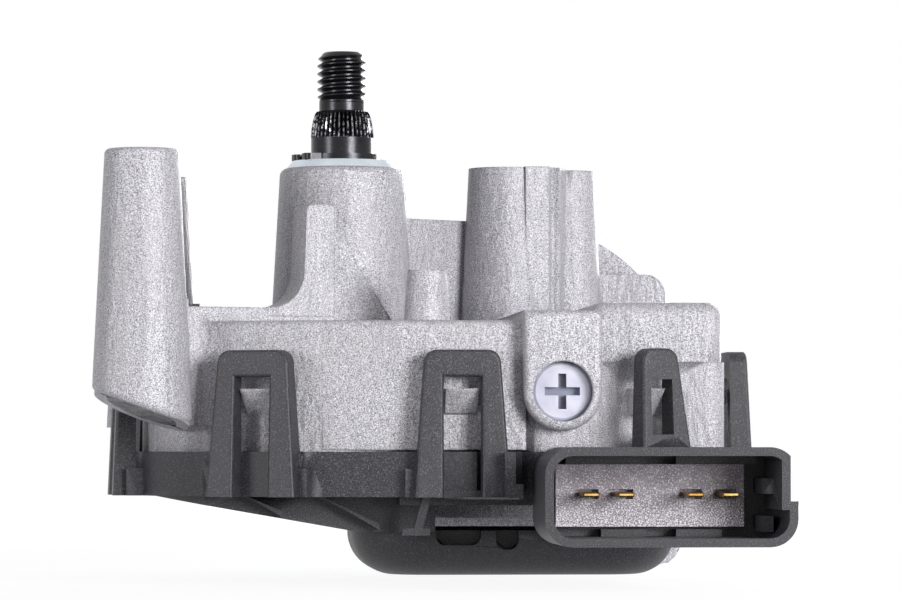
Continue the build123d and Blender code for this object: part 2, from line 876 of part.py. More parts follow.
with BuildPart() as gear_cover:
    # keel that slopes from the rim down to the belly
    with BuildSketch(across(keel_front)):
        with BuildLine():
            Polyline(
                (keel_left, up(-skirt_depth)),
                (belly_left, up(-belly_step_depth)),
                (belly_left + belly_corner, up(-belly_step_depth)),
                (belly_left + belly_corner, up(-skirt_depth)),
                close=True,
            )
        make_face()
    extrude(amount=-(keel_back - keel_front))
    # slanting ribs on the keel's front
    for rib_top, rib_foot in keel_rib_runs:
        with BuildSketch(across(keel_front - keel_rib_depth)):
            with BuildLine():
                Polyline(
                    (rib_top[0], up(rib_top[1])),
                    (rib_foot[0], up(rib_foot[1])),
                    (rib_foot[0], up(rib_foot[1] + keel_rib_thickness)),
                    (rib_top[0] + keel_rib_thickness, up(rib_top[1])),
                    close=True,
                )
            make_face()
        extrude(amount=-2 * keel_rib_depth)
    with Locations((0, 0, up(-belly_depth))):
        Cylinder(case_radius, belly_depth, align=foot_align, mode=Mode.INTERSECT)
    # belly, on a narrower neck
    with BuildSketch(level(-belly_depth)):
        with Locations((belly_x, belly_y)):
            RectangleRounded(belly_width, belly_length, belly_corner)
    extrude(amount=belly_depth - belly_step_depth)
    fillet(gear_cover.edges().group_by(Axis.Z)[0], belly_round)
    with BuildSketch(level(-belly_step_depth)):
        with Locations((belly_x, belly_y)):
            RectangleRounded(
                belly_width - 2 * belly_neck_inset,
                belly_length - 2 * belly_neck_inset,
                belly_corner - belly_neck_inset,
            )
    extrude(amount=belly_step_depth - skirt_depth)
    # pockets in the belly's front, open at its upper edge
    for pocket_x, pocket_width, pocket_depth in pockets:
        with BuildSketch(across(belly_front)):
            with Locations((pocket_x, up(-belly_step_depth))):
                RectangleRounded(pocket_width, 2 * (pocket_depth - belly_step_depth), pocket_round)
        extrude(amount=-pocket_cut, mode=Mode.SUBTRACT)
    # floor and skirt
    with BuildSketch(level(-skirt_depth)):
        cover_outline(cover_fit + skirt_wall)
    extrude(amount=skirt_depth)
    # low pad under the floor, and the hook that hangs from the skirt
    with BuildSketch(level(-floor_pad_depth)):
        with Locations((floor_pad_left, floor_pad_front)):
            Rectangle(
                floor_pad_right - floor_pad_left,
                floor_pad_back - floor_pad_front,
                align=(Align.MIN, Align.MIN),
            )
    extrude(amount=floor_pad_depth - skirt_depth)
    with BuildSketch(across(hook_front)):
        with BuildLine():
            Polyline(
                (hook_top_x, up(-skirt_depth)),
                (hook_foot_x, up(-hook_foot_depth)),
                (hook_foot_x + hook_width, up(-hook_foot_depth)),
                (hook_top_x + hook_width, up(-skirt_depth)),
                close=True,
            )
        make_face()
        with Locations((hook_foot_x + hook_width / 2, up(-hook_foot_depth))):
            Rectangle(hook_foot_width, hook_foot_thickness, align=foot_align[1:])
    extrude(amount=-hook_thickness)
    # connector shroud and the block that ties it to the belly
    with BuildSketch(across(shroud_front)):
        shroud_outline(0)
    extrude(amount=-(shroud_back - shroud_front))
    with BuildSketch(level(shroud_bottom_height)):
        with Locations((shroud_root_left, shroud_back)):
            Rectangle(
                shroud_root_right - shroud_root_left,
                belly_front + belly_corner - shroud_back,
                align=(Align.MIN, Align.MIN),
            )
    extrude(amount=-shroud_bottom_height - skirt_depth)
    # clips, each with a low rib at its foot and rooted in the skirt's wall
    add(clips)
    for place in wide_clip_places:
        with BuildSketch(place):
            with Locations((0, -skirt_depth)):
                Rectangle(clip_base_width, skirt_depth, align=foot_align[1:])
        extrude(amount=-skirt_wall)
        with BuildSketch(place):
            with Locations((0, -skirt_depth)):
                Rectangle(clip_rib_span, skirt_depth + clip_rib_height, align=foot_align[1:])
                Rectangle(window_width, skirt_depth, align=foot_align[1:], mode=Mode.SUBTRACT)
        extrude(amount=clip_rib_thickness)
        with BuildSketch(place):
            with Locations((0, -skirt_depth)):
                Rectangle(clip_rib_span, skirt_depth + clip_rib_height, align=foot_align[1:])
        extrude(amount=-skirt_wall)
    # room inside the skirt, in the belly and in the shroud
    with BuildSketch(level(-skirt_depth + floor_thickness)):
        cover_outline(cover_fit)
    extrude(amount=skirt_depth, mode=Mode.SUBTRACT)
    with BuildSketch(level(-belly_depth + belly_wall)):
        with Locations((belly_x, belly_y)):
            RectangleRounded(
                belly_width - 2 * belly_wall, belly_length - 2 * belly_wall, belly_corner - belly_wall
            )
    extrude(amount=belly_depth - belly_wall - skirt_depth + floor_thickness, mode=Mode.SUBTRACT)
    with BuildSketch(across(shroud_front)):
        shroud_outline(shroud_wall)
    extrude(amount=-(shroud_back - shroud_floor - shroud_front), mode=Mode.SUBTRACT)
    # keying ribs above and below the blades, and tabs on the right
    with BuildSketch(across(shroud_back - shroud_floor - shroud_rib_depth)):
        for rib_left, rib_right in top_ribs:
            with Locations((rib_left, up(shroud_top_height - shroud_wall))):
                Rectangle(
                    rib_right - rib_left,
                    shroud_top_height - shroud_wall - top_rib_foot_height,
                    align=(Align.MIN, Align.MAX),
                )
        for rib_left, rib_right in bottom_ribs:
            with Locations((rib_left, up(shroud_bottom_height + shroud_wall))):
                Rectangle(
                    rib_right - rib_left,
                    bottom_rib_top_height - shroud_bottom_height - shroud_wall,
                    align=(Align.MIN, Align.MIN),
                )
    extrude(amount=-shroud_rib_depth)
    with BuildSketch(across(shroud_back - shroud_floor - side_tab_reach)):
        for tab_foot, tab_top in side_tabs:
            with Locations((shroud_right - shroud_step_width - shroud_wall, up(tab_foot))):
                Rectangle(side_tab_width, tab_top - tab_foot, align=(Align.MAX, Align.MIN))
    extrude(amount=-side_tab_reach)
    # holes for the blades
    with BuildSketch(across(shroud_back - shroud_floor)):
        with Locations(*pin_places):
            Rectangle(pin_width + cover_fit, pin_thickness + cover_fit)
    extrude(amount=-(pin_root + shroud_floor - shroud_back), mode=Mode.SUBTRACT)
finish(gear_cover, "gear_cover")

# ---- seal between the casting and the cover ----
with BuildPart() as cover_gasket:
    with BuildSketch(level(-skirt_depth + floor_thickness)):
        cover_outline(0)
        cover_outline(-case_wall, Mode.SUBTRACT)
    extrude(amount=skirt_depth - floor_thickness - rim_depth)
finish(cover_gasket, "cover_gasket")

# ---- insert that carries the connector's blades ----
with BuildPart() as blade_carrier:
    with BuildSketch(across(pin_block_front)):
        with Locations((pin_block_x, up(pin_block_mid_height))):
            Rectangle(pin_block_right - pin_block_left, pin_block_top_height - pin_block_bottom_height)
    extrude(amount=-pin_block_thickness)
    with BuildSketch(across(pin_block_front)):
        with Locations((pin_block_panel_left, up(pin_block_panel_bottom))):
            Rectangle(
                pin_block_panel_right - pin_block_panel_left,
                pin_block_panel_top - pin_block_panel_bottom,
                align=(Align.MIN, Align.MIN),
            )
    extrude(amount=-pin_block_panel_sink, mode=Mode.SUBTRACT)
    with BuildSketch(across(pin_block_front)):
        with Locations(*pin_places):
            Rectangle(pin_slot_width, pin_slot_height)
    extrude(amount=-pin_slot_depth, mode=Mode.SUBTRACT)
    with BuildSketch(across(pin_block_front)):
        with Locations(*pin_places):
            Rectangle(pin_width + cover_fit, pin_thickness + cover_fit)
    extrude(amount=-pin_block_thickness, mode=Mode.SUBTRACT)
finish(blade_carrier, "blade_carrier")

# ---- connector blades ----
for number, (x, z) in enumerate(pin_places, start=1):
    with BuildPart() as terminal:
        with BuildSketch(across(pin_front)):
            with Locations((x, z)):
                Rectangle(pin_width, pin_thickness)
        extrude(amount=-(pin_root - pin_front))
        tip_edges = terminal.edges().group_by(Axis.Y)[0]
        chamfer(tip_edges, pin_thickness / 4)
    finish(terminal, "terminal_" + str(number))

# ---- output shaft with its knurled taper ----
def knurl_outline(radius):
    """Ring of sharp teeth round the shaft."""
    points = []
    for step in range(2 * knurl_teeth):
        turn = math.pi * step / knurl_teeth
        reach = radius - knurl_depth * (step % 2)
        points.append((reach * math.cos(turn), reach * math.sin(turn)))
    with BuildLine() as teeth:
        Polyline(*points, close=True)
    make_face(teeth.edges())


with BuildPart() as output_shaft:
    with BuildSketch(Plane.XZ):
        with BuildLine():
            Polyline(
                (0, up(shaft_foot_height)),
                (shaft_radius, up(shaft_foot_height)),
                (shaft_radius, ring_z),
                (shaft_radius - ring_groove_depth, ring_z),
                (shaft_radius - ring_groove_depth, ring_z + ring_thickness),
                (shaft_radius, ring_z + ring_thickness),
                (shaft_radius, knurl_foot_z),
                (neck_radius, knurl_foot_z),
                (neck_radius, 0),
                (thread_radius, 0),
                (thread_radius, thread_length - thread_lead_in),
                (thread_radius - thread_lead_in, thread_length),
                (0, thread_length),
                close=True,
            )
        make_face()
    revolve(axis=Axis.Z)
    with BuildSketch(Plane.XY.offset(knurl_foot_z)):
        knurl_outline(shaft_radius)
    with BuildSketch(Plane.XY.offset(knurl_foot_z + knurl_length)):
        knurl_outline(knurl_top_radius)
    loft(ruled=True)
finish(output_shaft, "output_shaft")

# ---- worm wheel ----
def involute_flank():
    """Radius and half-angle of a tooth at its root, pitch line and tip."""
    slope = math.radians(pressure_angle)
    base_radius = wheel_pitch_radius * math.cos(slope)
    pitch_half_angle = half_tooth / wheel_pitch_radius
    points = []
    for radius in (wheel_root_radius, wheel_pitch_radius, wheel_tip_radius):
        roll = math.acos(base_radius / radius)
        half_angle = pitch_half_angle + (math.tan(slope) - slope) - (math.tan(roll) - roll)
        points.append((radius, half_angle))
    return points


def wheel_outline():
    """Outline of the wheel's teeth, one involute flank down and the next one up."""
    flank = involute_flank()
    points = []
    for tooth in range(wheel_teeth):
        middle = 2 * math.pi * tooth / wheel_teeth
        for radius, half_angle in flank:
            turn = middle - half_angle
            points.append((radius * math.cos(turn), radius * math.sin(turn)))
        for radius, half_angle in reversed(flank):
            turn = middle + half_angle
            points.append((radius * math.cos(turn), radius * math.sin(turn)))
    return points


# The teeth lean by the worm's lead angle, so the blank is twisted as it is drawn up.
with BuildSketch(Plane.XY) as tooth_ring:
    with BuildLine():
        Polyline(*wheel_outline(), close=True)
    make_face()
wheel_twist = math.degrees(wheel_width * lead_slope / wheel_pitch_radius)
toothed_blank = Solid.extrude_linear_with_rotation(
    tooth_ring.sketch.face().moved(Location((0, 0, up(wheel_foot)), (0, 0, -wheel_twist / 2))),
    center=(0, 0, up(wheel_foot)),
    normal=(0, 0, wheel_width),
    angle=wheel_twist,
)

with BuildPart() as worm_wheel:
    add(toothed_blank)
    # hollow between the rim and the hub on both faces, with ribs left standing
    for face_height in (wheel_foot, wheel_foot + wheel_width):
        toward_web = math.copysign(1, worm_height - face_height)
        with BuildSketch(level(face_height)):
            Circle(wheel_hollow_radius)
            Circle(hub_flange_radius, mode=Mode.SUBTRACT)
            with PolarLocations(wheel_hollow_radius / 2, wheel_rib_count):
                Rectangle(wheel_hollow_radius, wheel_rib_width, mode=Mode.SUBTRACT)
        extrude(amount=toward_web * (wheel_width - wheel_web) / 2, mode=Mode.SUBTRACT)
    with Locations((0, 0, up(wheel_foot))):
        Cylinder(wheel_hub_radius + running_gap, wheel_width, align=foot_align, mode=Mode.SUBTRACT)
finish(worm_wheel, "worm_wheel")

# ---- steel hub that carries the wheel on the shaft ----
with BuildPart() as wheel_hub:
    with Locations((0, 0, up(wheel_foot - hub_flange_thickness))):
        Cylinder(hub_flange_radius, hub_flange_thickness, align=foot_align)
        Cylinder(wheel_hub_radius, wheel_hub_length, align=foot_align)
        Cylinder(bush_bore - running_gap / 2, wheel_hub_length, align=foot_align, mode=Mode.SUBTRACT)
finish(wheel_hub, "wheel_hub")


def ring(label, foot_z, thickness, outer_radius, bore_radius):
    """Plain flat ring on the output shaft's axis."""
    with BuildPart() as piece:
        with Locations((0, 0, foot_z)):
            Cylinder(outer_radius, thickness, align=foot_align)
            Cylinder(bore_radius, thickness, align=foot_align, mode=Mode.SUBTRACT)
    finish(piece, label)


park_disc_z = up(wheel_foot) - park_disc_thickness
ring("park_disc", park_disc_z, park_disc_thickness, park_disc_radius, park_disc_bore)
ring("thrust_washer", hub_top_z, thrust_washer_thickness, thrust_washer_radius, bush_bore)
ring("lower_shaft_bush", lower_bush_z, lower_bush_length, output_bush_radius, bush_bore)
ring("upper_shaft_bush", seal_z - upper_bush_length, upper_bush_length, output_bush_radius, bush_bore)
ring("shaft_seal", seal_z, seal_thickness, seal_radius, bush_bore)

# ---- zinc washer under the retaining ring, bevelled round its upper edge ----
with BuildPart() as shaft_washer:
    with Locations((0, 0, washer_z)):
        Cone(washer_radius, washer_top_radius, washer_thickness, align=foot_align)
        Cylinder(bush_bore, washer_thickness, align=foot_align, mode=Mode.SUBTRACT)
finish(shaft_washer, "shaft_washer")

# ---- retaining ring with its two drilled lugs ----
with BuildPart() as retaining_ring:
    with BuildSketch(Plane.XY.offset(ring_z)):
        Circle(ring_radius)
        with Locations(Location((0, 0, 0), (0, 0, ring_bearing))):
            with Locations((ring_radius, ring_lug_spread), (ring_radius, -ring_lug_spread)):
                RectangleRounded(ring_lug_length, ring_lug_width, ring_lug_width / 3)
                Circle(ring_hole_radius, mode=Mode.SUBTRACT)
            Rectangle(
                ring_radius + ring_lug_length,
                ring_gap,
                align=(Align.MIN, Align.CENTER),
                mode=Mode.SUBTRACT,
            )
        Circle(shaft_radius - ring_groove_depth / 2, mode=Mode.SUBTRACT)
    extrude(amount=ring_thickness)
finish(retaining_ring, "retaining_ring")

# ---- adjusting plug and thrust pad in front of the worm ----
with BuildPart() as thrust_plug:
    with BuildSketch(across(plug_front)):
        with Locations((worm_x, worm_z)):
            Circle(plug_radius)
    extrude(amount=-plug_length)
    chamfer(thrust_plug.edges().group_by(Axis.Y)[0], plug_chamfer)
    with BuildSketch(across(plug_front)):
        with Locations((worm_x, worm_z)):
            Rectangle(plug_cross_length, plug_cross_width)
            Rectangle(plug_cross_width, plug_cross_length)
    extrude(amount=-plug_cross_depth, mode=Mode.SUBTRACT)
finish(thrust_plug, "thrust_plug")


def collar(label, start_y, end_y, outer_radius, bore_radius):
    """Plain disc or sleeve on the motor's axis."""
    with BuildPart() as piece:
        with BuildSketch(across(start_y)):
            with Locations((worm_x, worm_z)):
                Circle(outer_radius)
                if bore_radius > 0:
                    Circle(bore_radius, mode=Mode.SUBTRACT)
        extrude(amount=-(end_y - start_y))
    finish(piece, label)


collar("thrust_pad", plug_back, pad_back, pad_radius, 0)
collar("worm_bush", worm_bush_front, trough_front, journal_radius + bush_wall, journal_radius + running_gap)
neck_bush_back = trough_back + worm_bush_length
shaft_bore = worm_shaft_radius + running_gap
collar("neck_bush", trough_back, neck_bush_back, neck_bush_radius, shaft_bore)
collar("rear_bush", rear_bush_front, rear_bush_back, rear_bush_radius, journal_radius + running_gap)
collar("bush_retainer", can_floor - retainer_thickness, can_floor, rear_pocket_radius, shaft_bore)

# ---- armature shaft with its worm ----
with BuildPart() as armature_shaft:
    with BuildSketch(motor_plane):
        with BuildLine():
            Polyline(
                (0, worm_shaft_front),
                (journal_radius - shaft_tip_chamfer, worm_shaft_front),
                (journal_radius, worm_shaft_front + shaft_tip_chamfer),
                (journal_radius, trough_front + end_float),
                (worm_root_radius, trough_front + end_float + worm_run_out),
                (worm_root_radius, worm_half_length),
                (worm_shaft_radius, worm_half_length + worm_run_out),
                (worm_shaft_radius, can_floor - retainer_thickness - worm_run_out),
                (journal_radius, can_floor - retainer_thickness - worm_run_out),
                (journal_radius, rear_bush_back - end_float),
                (0, rear_bush_back - end_float),
                close=True,
            )
        make_face()
    revolve(axis=motor_axis)
    with BuildLine() as thread_path:
        Helix(
            pitch=tooth_pitch,
            height=worm_turns * tooth_pitch,
            radius=worm_root_radius - thread_bite,
            center=(worm_x, -worm_half_length, worm_z),
            direction=(0, 1, 0),
        )
    with BuildSketch(Plane(origin=thread_path.line @ 0, x_dir=(0, 0, 1), z_dir=thread_path.line % 0)):
        with BuildLine():
            Polyline(
                (0, -worm_foot_half_width),
                (worm_tooth_height, -worm_tip_half_width),
                (worm_tooth_height, worm_tip_half_width),
                (0, worm_foot_half_width),
                close=True,
            )
        make_face()
    sweep(path=thread_path.line, is_frenet=True)
finish(armature_shaft, "armature_shaft")

# ---- laminated core, windings and commutator ----
with BuildPart() as armature_core:
    with BuildSketch(across(core_y)):
        with Locations((worm_x, worm_z)):
            Circle(core_radius)
            with PolarLocations(core_radius - core_slot_depth / 2, core_slots):
                Rectangle(core_slot_depth, core_slot_width, mode=Mode.SUBTRACT)
            Circle(worm_shaft_radius + running_gap / 2, mode=Mode.SUBTRACT)
    extrude(amount=-core_length)
finish(armature_core, "armature_core")

with BuildPart() as armature_windings:
    for start, end in ((core_y - winding_overhang, core_y), (core_y + core_length, winding_back)):
        with BuildSketch(across(start)):
            with Locations((worm_x, worm_z)):
                Circle(core_radius - winding_inset)
                Circle(core_hub_radius, mode=Mode.SUBTRACT)
        extrude(amount=-(end - start))
    fillet(armature_windings.edges().group_by(Axis.Y)[0], winding_round)
    fillet(armature_windings.edges().group_by(Axis.Y)[-1], winding_round)
finish(armature_windings, "armature_windings")

with BuildPart() as commutator:
    with BuildSketch(across(commutator_y)):
        with Locations((worm_x, worm_z)):
            Circle(commutator_radius)
            with PolarLocations(commutator_radius, commutator_bars, start_angle=bar_bearing):
                Rectangle(bar_gap_depth, bar_gap_width, mode=Mode.SUBTRACT)
            Circle(worm_shaft_radius + running_gap / 2, mode=Mode.SUBTRACT)
    extrude(amount=-commutator_length)
finish(commutator, "commutator")

# ---- brush plate, brushes and their springs ----
with BuildPart() as brush_plate:
    with BuildSketch(across(flange_y - brush_plate_thickness)):
        with Locations((worm_x, worm_z)):
            Circle(brush_plate_radius)
            Circle(commutator_radius + brush_plate_gap, mode=Mode.SUBTRACT)
    extrude(amount=-brush_plate_thickness)
    with BuildSketch(across(brush_front - holder_wall)):
        for bearing in brush_bearings:
            with Locations(Location((worm_x, worm_z, 0), (0, 0, bearing))):
                with Locations((brush_back_radius, 0)):
                    Rectangle(
                        holder_length, brush_width + 2 * holder_wall, align=(Align.MAX, Align.CENTER)
                    )
    extrude(amount=-(brush_height + holder_wall))
    with BuildSketch(across(brush_front)):
        for bearing in brush_bearings:
            with Locations(Location((worm_x, worm_z, 0), (0, 0, bearing))):
                with Locations((brush_back_radius, 0)):
                    Rectangle(
                        holder_length, brush_width + 2 * cover_fit, align=(Align.MAX, Align.CENTER)
                    )
    extrude(amount=-brush_height, mode=Mode.SUBTRACT)
finish(brush_plate, "brush_plate")

for name, bearing in zip(brush_names, brush_bearings):
    with BuildPart() as brush:
        with BuildSketch(across(brush_front)):
            with Locations(Location((worm_x, worm_z, 0), (0, 0, bearing))):
                with Locations((brush_back_radius, 0)):
                    Rectangle(
                        brush_back_radius - commutator_radius,
                        brush_width,
                        align=(Align.MAX, Align.CENTER),
                    )
            with Locations((worm_x, worm_z)):
                Circle(commutator_radius + end_float, mode=Mode.SUBTRACT)
        extrude(amount=-brush_height)
    finish(brush, name)

with BuildPart() as brush_springs:
    with BuildSketch(across(brush_front)):
        for bearing in brush_bearings:
            with Locations(Location((worm_x, worm_z, 0), (0, 0, bearing))):
                with Locations((brush_back_radius, 0)):
                    Rectangle(spring_thickness, spring_width, align=(Align.MIN, Align.CENTER))
    extrude(amount=-brush_height)
finish(brush_springs, "brush_springs")

# ---- magnets ----
for name, bearing in (("magnet_left", 180), ("magnet_right", 0)):
    with BuildPart() as magnet:
        with BuildSketch(across(magnet_y)):
            with BuildLine(Location((worm_x, worm_z, 0), (0, 0, bearing))):
                outer_arc = CenterArc((0, 0), magnet_outer_radius, -magnet_angle / 2, magnet_angle)
                inner_arc = CenterArc((0, 0), magnet_inner_radius, -magnet_angle / 2, magnet_angle)
                Line(outer_arc @ 0, inner_arc @ 0)
                Line(outer_arc @ 1, inner_arc @ 1)
            make_face()
        extrude(amount=-magnet_length)
    finish(magnet, name)

# ---- motor can ----
with BuildPart() as motor_can:
    with BuildSketch(across(flange_y)):
        motor_flange_outline(can_flange_radius, can_flange_half_height)
    extrude(amount=-can_flange_thickness)
    with BuildSketch(motor_plane):
        with BuildLine():
            FilletPolyline(
                (0, flange_y),
                (can_radius, flange_y),
                (can_radius, can_back),
                (rear_pocket_radius, can_back),
                (rear_pocket_radius, can_back + rear_pocket_depth),
                (0, can_back + rear_pocket_depth),
                radius=[0.01, can_back_round, pocket_round, pocket_round],
            )
            Line((0, can_back + rear_pocket_depth), (0, flange_y))
        make_face()
    revolve(axis=motor_axis)
    with BuildSketch(motor_plane):
        with BuildLine():
            FilletPolyline(
                (0, flange_y),
                (can_radius - can_wall, flange_y),
                (can_radius - can_wall, can_floor),
                (0, can_floor),
                radius=[0.01, can_back_round - can_wall],
            )
            Line((0, can_floor), (0, flange_y))
        make_face()
    revolve(axis=motor_axis, mode=Mode.SUBTRACT)
    with BuildSketch(across(can_floor)):
        with Locations((worm_x, worm_z)):
            Circle(rear_bush_radius + running_gap)
    extrude(amount=-(rear_bush_back - can_floor), mode=Mode.SUBTRACT)
    with BuildSketch(across(flange_y)):
        with Locations((worm_x, worm_z)):
            with PolarLocations(ear_circle_radius, 2, start_angle=ear_bearing):
                Circle(ear_hole_radius)
    extrude(amount=-can_flange_thickness, mode=Mode.SUBTRACT)
finish(motor_can, "motor_can")

# ---- screws that hold the motor to the casting ----
with BuildPart() as can_screws:
    with BuildSketch(across(flange_y + can_flange_thickness)):
        with Locations((worm_x, worm_z)):
            with PolarLocations(ear_circle_radius, 2, start_angle=ear_bearing):
                RegularPolygon(screw_head_radius, 6)
    extrude(amount=-screw_head_height)
    with BuildSketch(across(flange_y - flange_thickness)):
        with Locations((worm_x, worm_z)):
            with PolarLocations(ear_circle_radius, 2, start_angle=ear_bearing):
                Circle(screw_radius)
    extrude(amount=-(flange_thickness + can_flange_thickness))
finish(can_screws, "can_screws")

# ---- park contacts on the cover's floor ----
with BuildPart() as contact_carrier:
    with Locations((carrier_x, 0, up(-skirt_depth + floor_thickness))):
        Box(carrier_length, carrier_width, carrier_thickness, align=foot_align)
finish(contact_carrier, "contact_carrier")

with BuildPart() as park_contacts:
    for offset_y in (-contact_pitch, 0, contact_pitch):
        with BuildSketch(across(offset_y)):
            with BuildLine():
                Polyline(
                    (carrier_x - contact_foot, carrier_top_z),
                    (carrier_x, carrier_top_z),
                    (carrier_x + contact_reach, contact_tip_z - contact_thickness),
                    (carrier_x + 2 * contact_reach, contact_tip_z - 2 * contact_thickness),
                    (carrier_x + 2 * contact_reach, contact_tip_z - contact_thickness),
                    (carrier_x + contact_reach, contact_tip_z),
                    (carrier_x - contact_thickness, carrier_top_z + contact_thickness),
                    (carrier_x - contact_foot, carrier_top_z + contact_thickness),
                    close=True,
                )
            make_face()
        extrude(amount=contact_width / 2, both=True)
finish(park_contacts, "park_contacts")
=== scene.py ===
import json
import math

import bmesh
import bpy
from mathutils import Matrix, Vector


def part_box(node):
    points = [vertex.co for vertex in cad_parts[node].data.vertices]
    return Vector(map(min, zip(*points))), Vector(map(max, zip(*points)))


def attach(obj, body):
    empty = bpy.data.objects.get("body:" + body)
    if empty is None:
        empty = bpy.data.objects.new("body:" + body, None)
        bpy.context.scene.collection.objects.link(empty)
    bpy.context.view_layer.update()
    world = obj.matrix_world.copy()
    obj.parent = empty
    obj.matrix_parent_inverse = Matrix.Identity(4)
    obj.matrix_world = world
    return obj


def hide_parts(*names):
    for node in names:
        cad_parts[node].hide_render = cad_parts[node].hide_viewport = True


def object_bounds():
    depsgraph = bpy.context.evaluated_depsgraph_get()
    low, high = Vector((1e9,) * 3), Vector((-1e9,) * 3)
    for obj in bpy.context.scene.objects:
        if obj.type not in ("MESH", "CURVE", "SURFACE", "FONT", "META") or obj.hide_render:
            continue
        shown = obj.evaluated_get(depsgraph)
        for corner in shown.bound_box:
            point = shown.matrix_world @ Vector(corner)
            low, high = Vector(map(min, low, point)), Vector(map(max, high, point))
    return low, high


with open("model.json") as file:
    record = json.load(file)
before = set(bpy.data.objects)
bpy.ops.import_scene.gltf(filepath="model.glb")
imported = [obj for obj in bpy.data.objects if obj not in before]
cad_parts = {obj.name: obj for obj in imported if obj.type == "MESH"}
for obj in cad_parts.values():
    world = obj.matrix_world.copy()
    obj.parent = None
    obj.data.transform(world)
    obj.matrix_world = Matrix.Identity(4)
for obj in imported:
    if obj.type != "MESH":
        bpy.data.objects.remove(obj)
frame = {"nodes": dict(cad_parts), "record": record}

cad_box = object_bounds()
NODES = frame["nodes"]
MM = 0.001

# The frame's origin is on the output shaft's axis, at the foot of its thread. The joint
# between the casting and its cover lies this far below it. Below, lengths are in millimetres,
# and heights on the casting and the cover are counted from the joint.
JOINT = -54.9 * MM

# Where two pieces overlap, one stands this far proud, because faces in one plane turn black.
PROUD = 0.02

# Vertices closer than this are taken for the same one.
CLOSE = 0.001 * MM


# ---- materials: helpers ----
# Of the Mix node's many sockets, these are the ones that mix two colours.
SHARE, FIRST, SECOND, MIXED = 0, 6, 7, 2


def colour(code):
    """Turn an sRGB hex code into the linear colour that Blender's shaders take."""
    channels = []
    for place in (0, 2, 4):
        value = int(code[place:place + 2], 16) / 255
        channels.append(value / 12.92 if value <= 0.04045 else ((value + 0.055) / 1.055) ** 2.4)
    return (*channels, 1.0)


def set_up(owner, node, settings):
    """Give a node its settings. A name in small letters is a property. Any other name, or a
    number, is an input: it takes a hex colour, a constant or the output of another node."""
    for name, value in settings.items():
        if isinstance(name, str) and name.islower():
            setattr(node, name, value)
        elif isinstance(value, bpy.types.NodeSocket):
            owner.node_tree.links.new(value, node.inputs[name])
        else:
            node.inputs[name].default_value = colour(value) if isinstance(value, str) else value


def add_node(owner, kind, settings, output=0):
    """Add a shader node to a material or the world, and return one of its outputs."""
    node = owner.node_tree.nodes.new("ShaderNode" + kind)
    set_up(owner, node, settings)
    return node.outputs[output]


def scale_of(size_mm):
    """The scale at which a noise pattern's blotches are about this wide."""
    return 1 / (size_mm * MM)


def new_material(name, settings):
    """Make a material whose Principled shader has these constants. Return it with the shader
    and with the place of each of its points, in metres in the shared frame."""
    material = bpy.data.materials.new(name)
    material.use_nodes = True
    shader = material.node_tree.nodes["Principled BSDF"]
    set_up(material, shader, settings)
    return material, shader, add_node(material, "TexCoord", {}, "Object")


def tinted(material, base, tint, pattern, low, high, most=1.0):
    """Lay a tint over a colour where a pattern rises from low to high, at most to this share."""
    rise = {"Value": pattern, "From Min": low, "From Max": high, "To Max": most}
    share = add_node(material, "MapRange", rise)
    mix = {"data_type": "RGBA", SHARE: share, FIRST: base, SECOND: tint}
    return add_node(material, "Mix", mix, MIXED)


# ---- materials ----
def cast_aluminium():
    """Die-cast aluminium blasted with fine steel shot into dents about 0.2 mm across, on a pale grey
    skin without any clear reflection; the glitter of single dents catching the light is painted into
    it as near-white flecks.
    Metal that ran up the die walls leaves faint upright streaks and a ripple like orange peel,
    and every edge is a little rounded by the blasting."""
    material, shader, place = new_material(
        "shot_blasted_die_cast_aluminium",
        {"Metallic": 0.12, "Roughness": 0.46, "Specular IOR Level": 0.25},
    )
    dents = add_node(
        material,
        "TexNoise",
        {"Vector": place, "Scale": scale_of(0.17), "Detail": 3.0, "Roughness": 0.7},
    )
    painted_glints_and_pits = add_node(
        material, "TexNoise", {"Vector": place, "Scale": scale_of(0.26), "Roughness": 0.6}
    )
    upright = add_node(material, "Mapping", {"Vector": place, "Scale": (1.0, 1.0, 0.12)})
    streaks = add_node(
        material,
        "TexNoise",
        {"Vector": upright, "Scale": scale_of(2.4), "Detail": 3.0, "Roughness": 0.6},
    )
    patches = add_node(material, "TexNoise", {"Vector": place, "Scale": scale_of(11.0)})
    skin = tinted(material, "706F75", "D6D4DB", dents, 0.42, 0.58)
    # Painted highlights: near-white flecks where the noise peaks stand for glints of light off
    # single dents.
    flecked = tinted(material, skin, "F4F3F8", painted_glints_and_pits, 0.6, 0.7, 0.85)
    streaked = tinted(material, flecked, "96949B", streaks, 0.42, 0.7, 0.3)
    clouded = tinted(material, streaked, "B4AFB3", patches, 0.35, 0.75, 0.25)
    uneven = add_node(
        material,
        "MapRange",
        {"Value": dents, "From Min": 0.3, "From Max": 0.7, "To Min": 0.36, "To Max": 0.58},
    )
    leaning = add_node(
        material,
        "Mapping",
        {"Vector": place, "Rotation": (0.0, 0.35, 0.0), "Scale": (1.0, 1.0, 0.4)},
    )
    ripple = add_node(material, "TexNoise", {"Vector": leaning, "Scale": scale_of(1.1)})
    peel = add_node(material, "MapRange", {"Value": ripple, "From Min": 0.35, "From Max": 0.75})
    edges = add_node(material, "Bevel", {"samples": 4, "Radius": 0.5 * MM})
    rippled = add_node(
        material, "Bump", {"Distance": 0.12 * MM, "Height": peel, "Normal": edges}
    )
    pits = add_node(material, "Math", {"operation": "ADD", 0: dents, 1: painted_glints_and_pits})
    dented = add_node(
        material, "Bump", {"Distance": 0.035 * MM, "Height": pits, "Normal": rippled}
    )
    set_up(material, shader, {"Base Color": clouded, "Roughness": uneven, "Normal": dented})
    return material


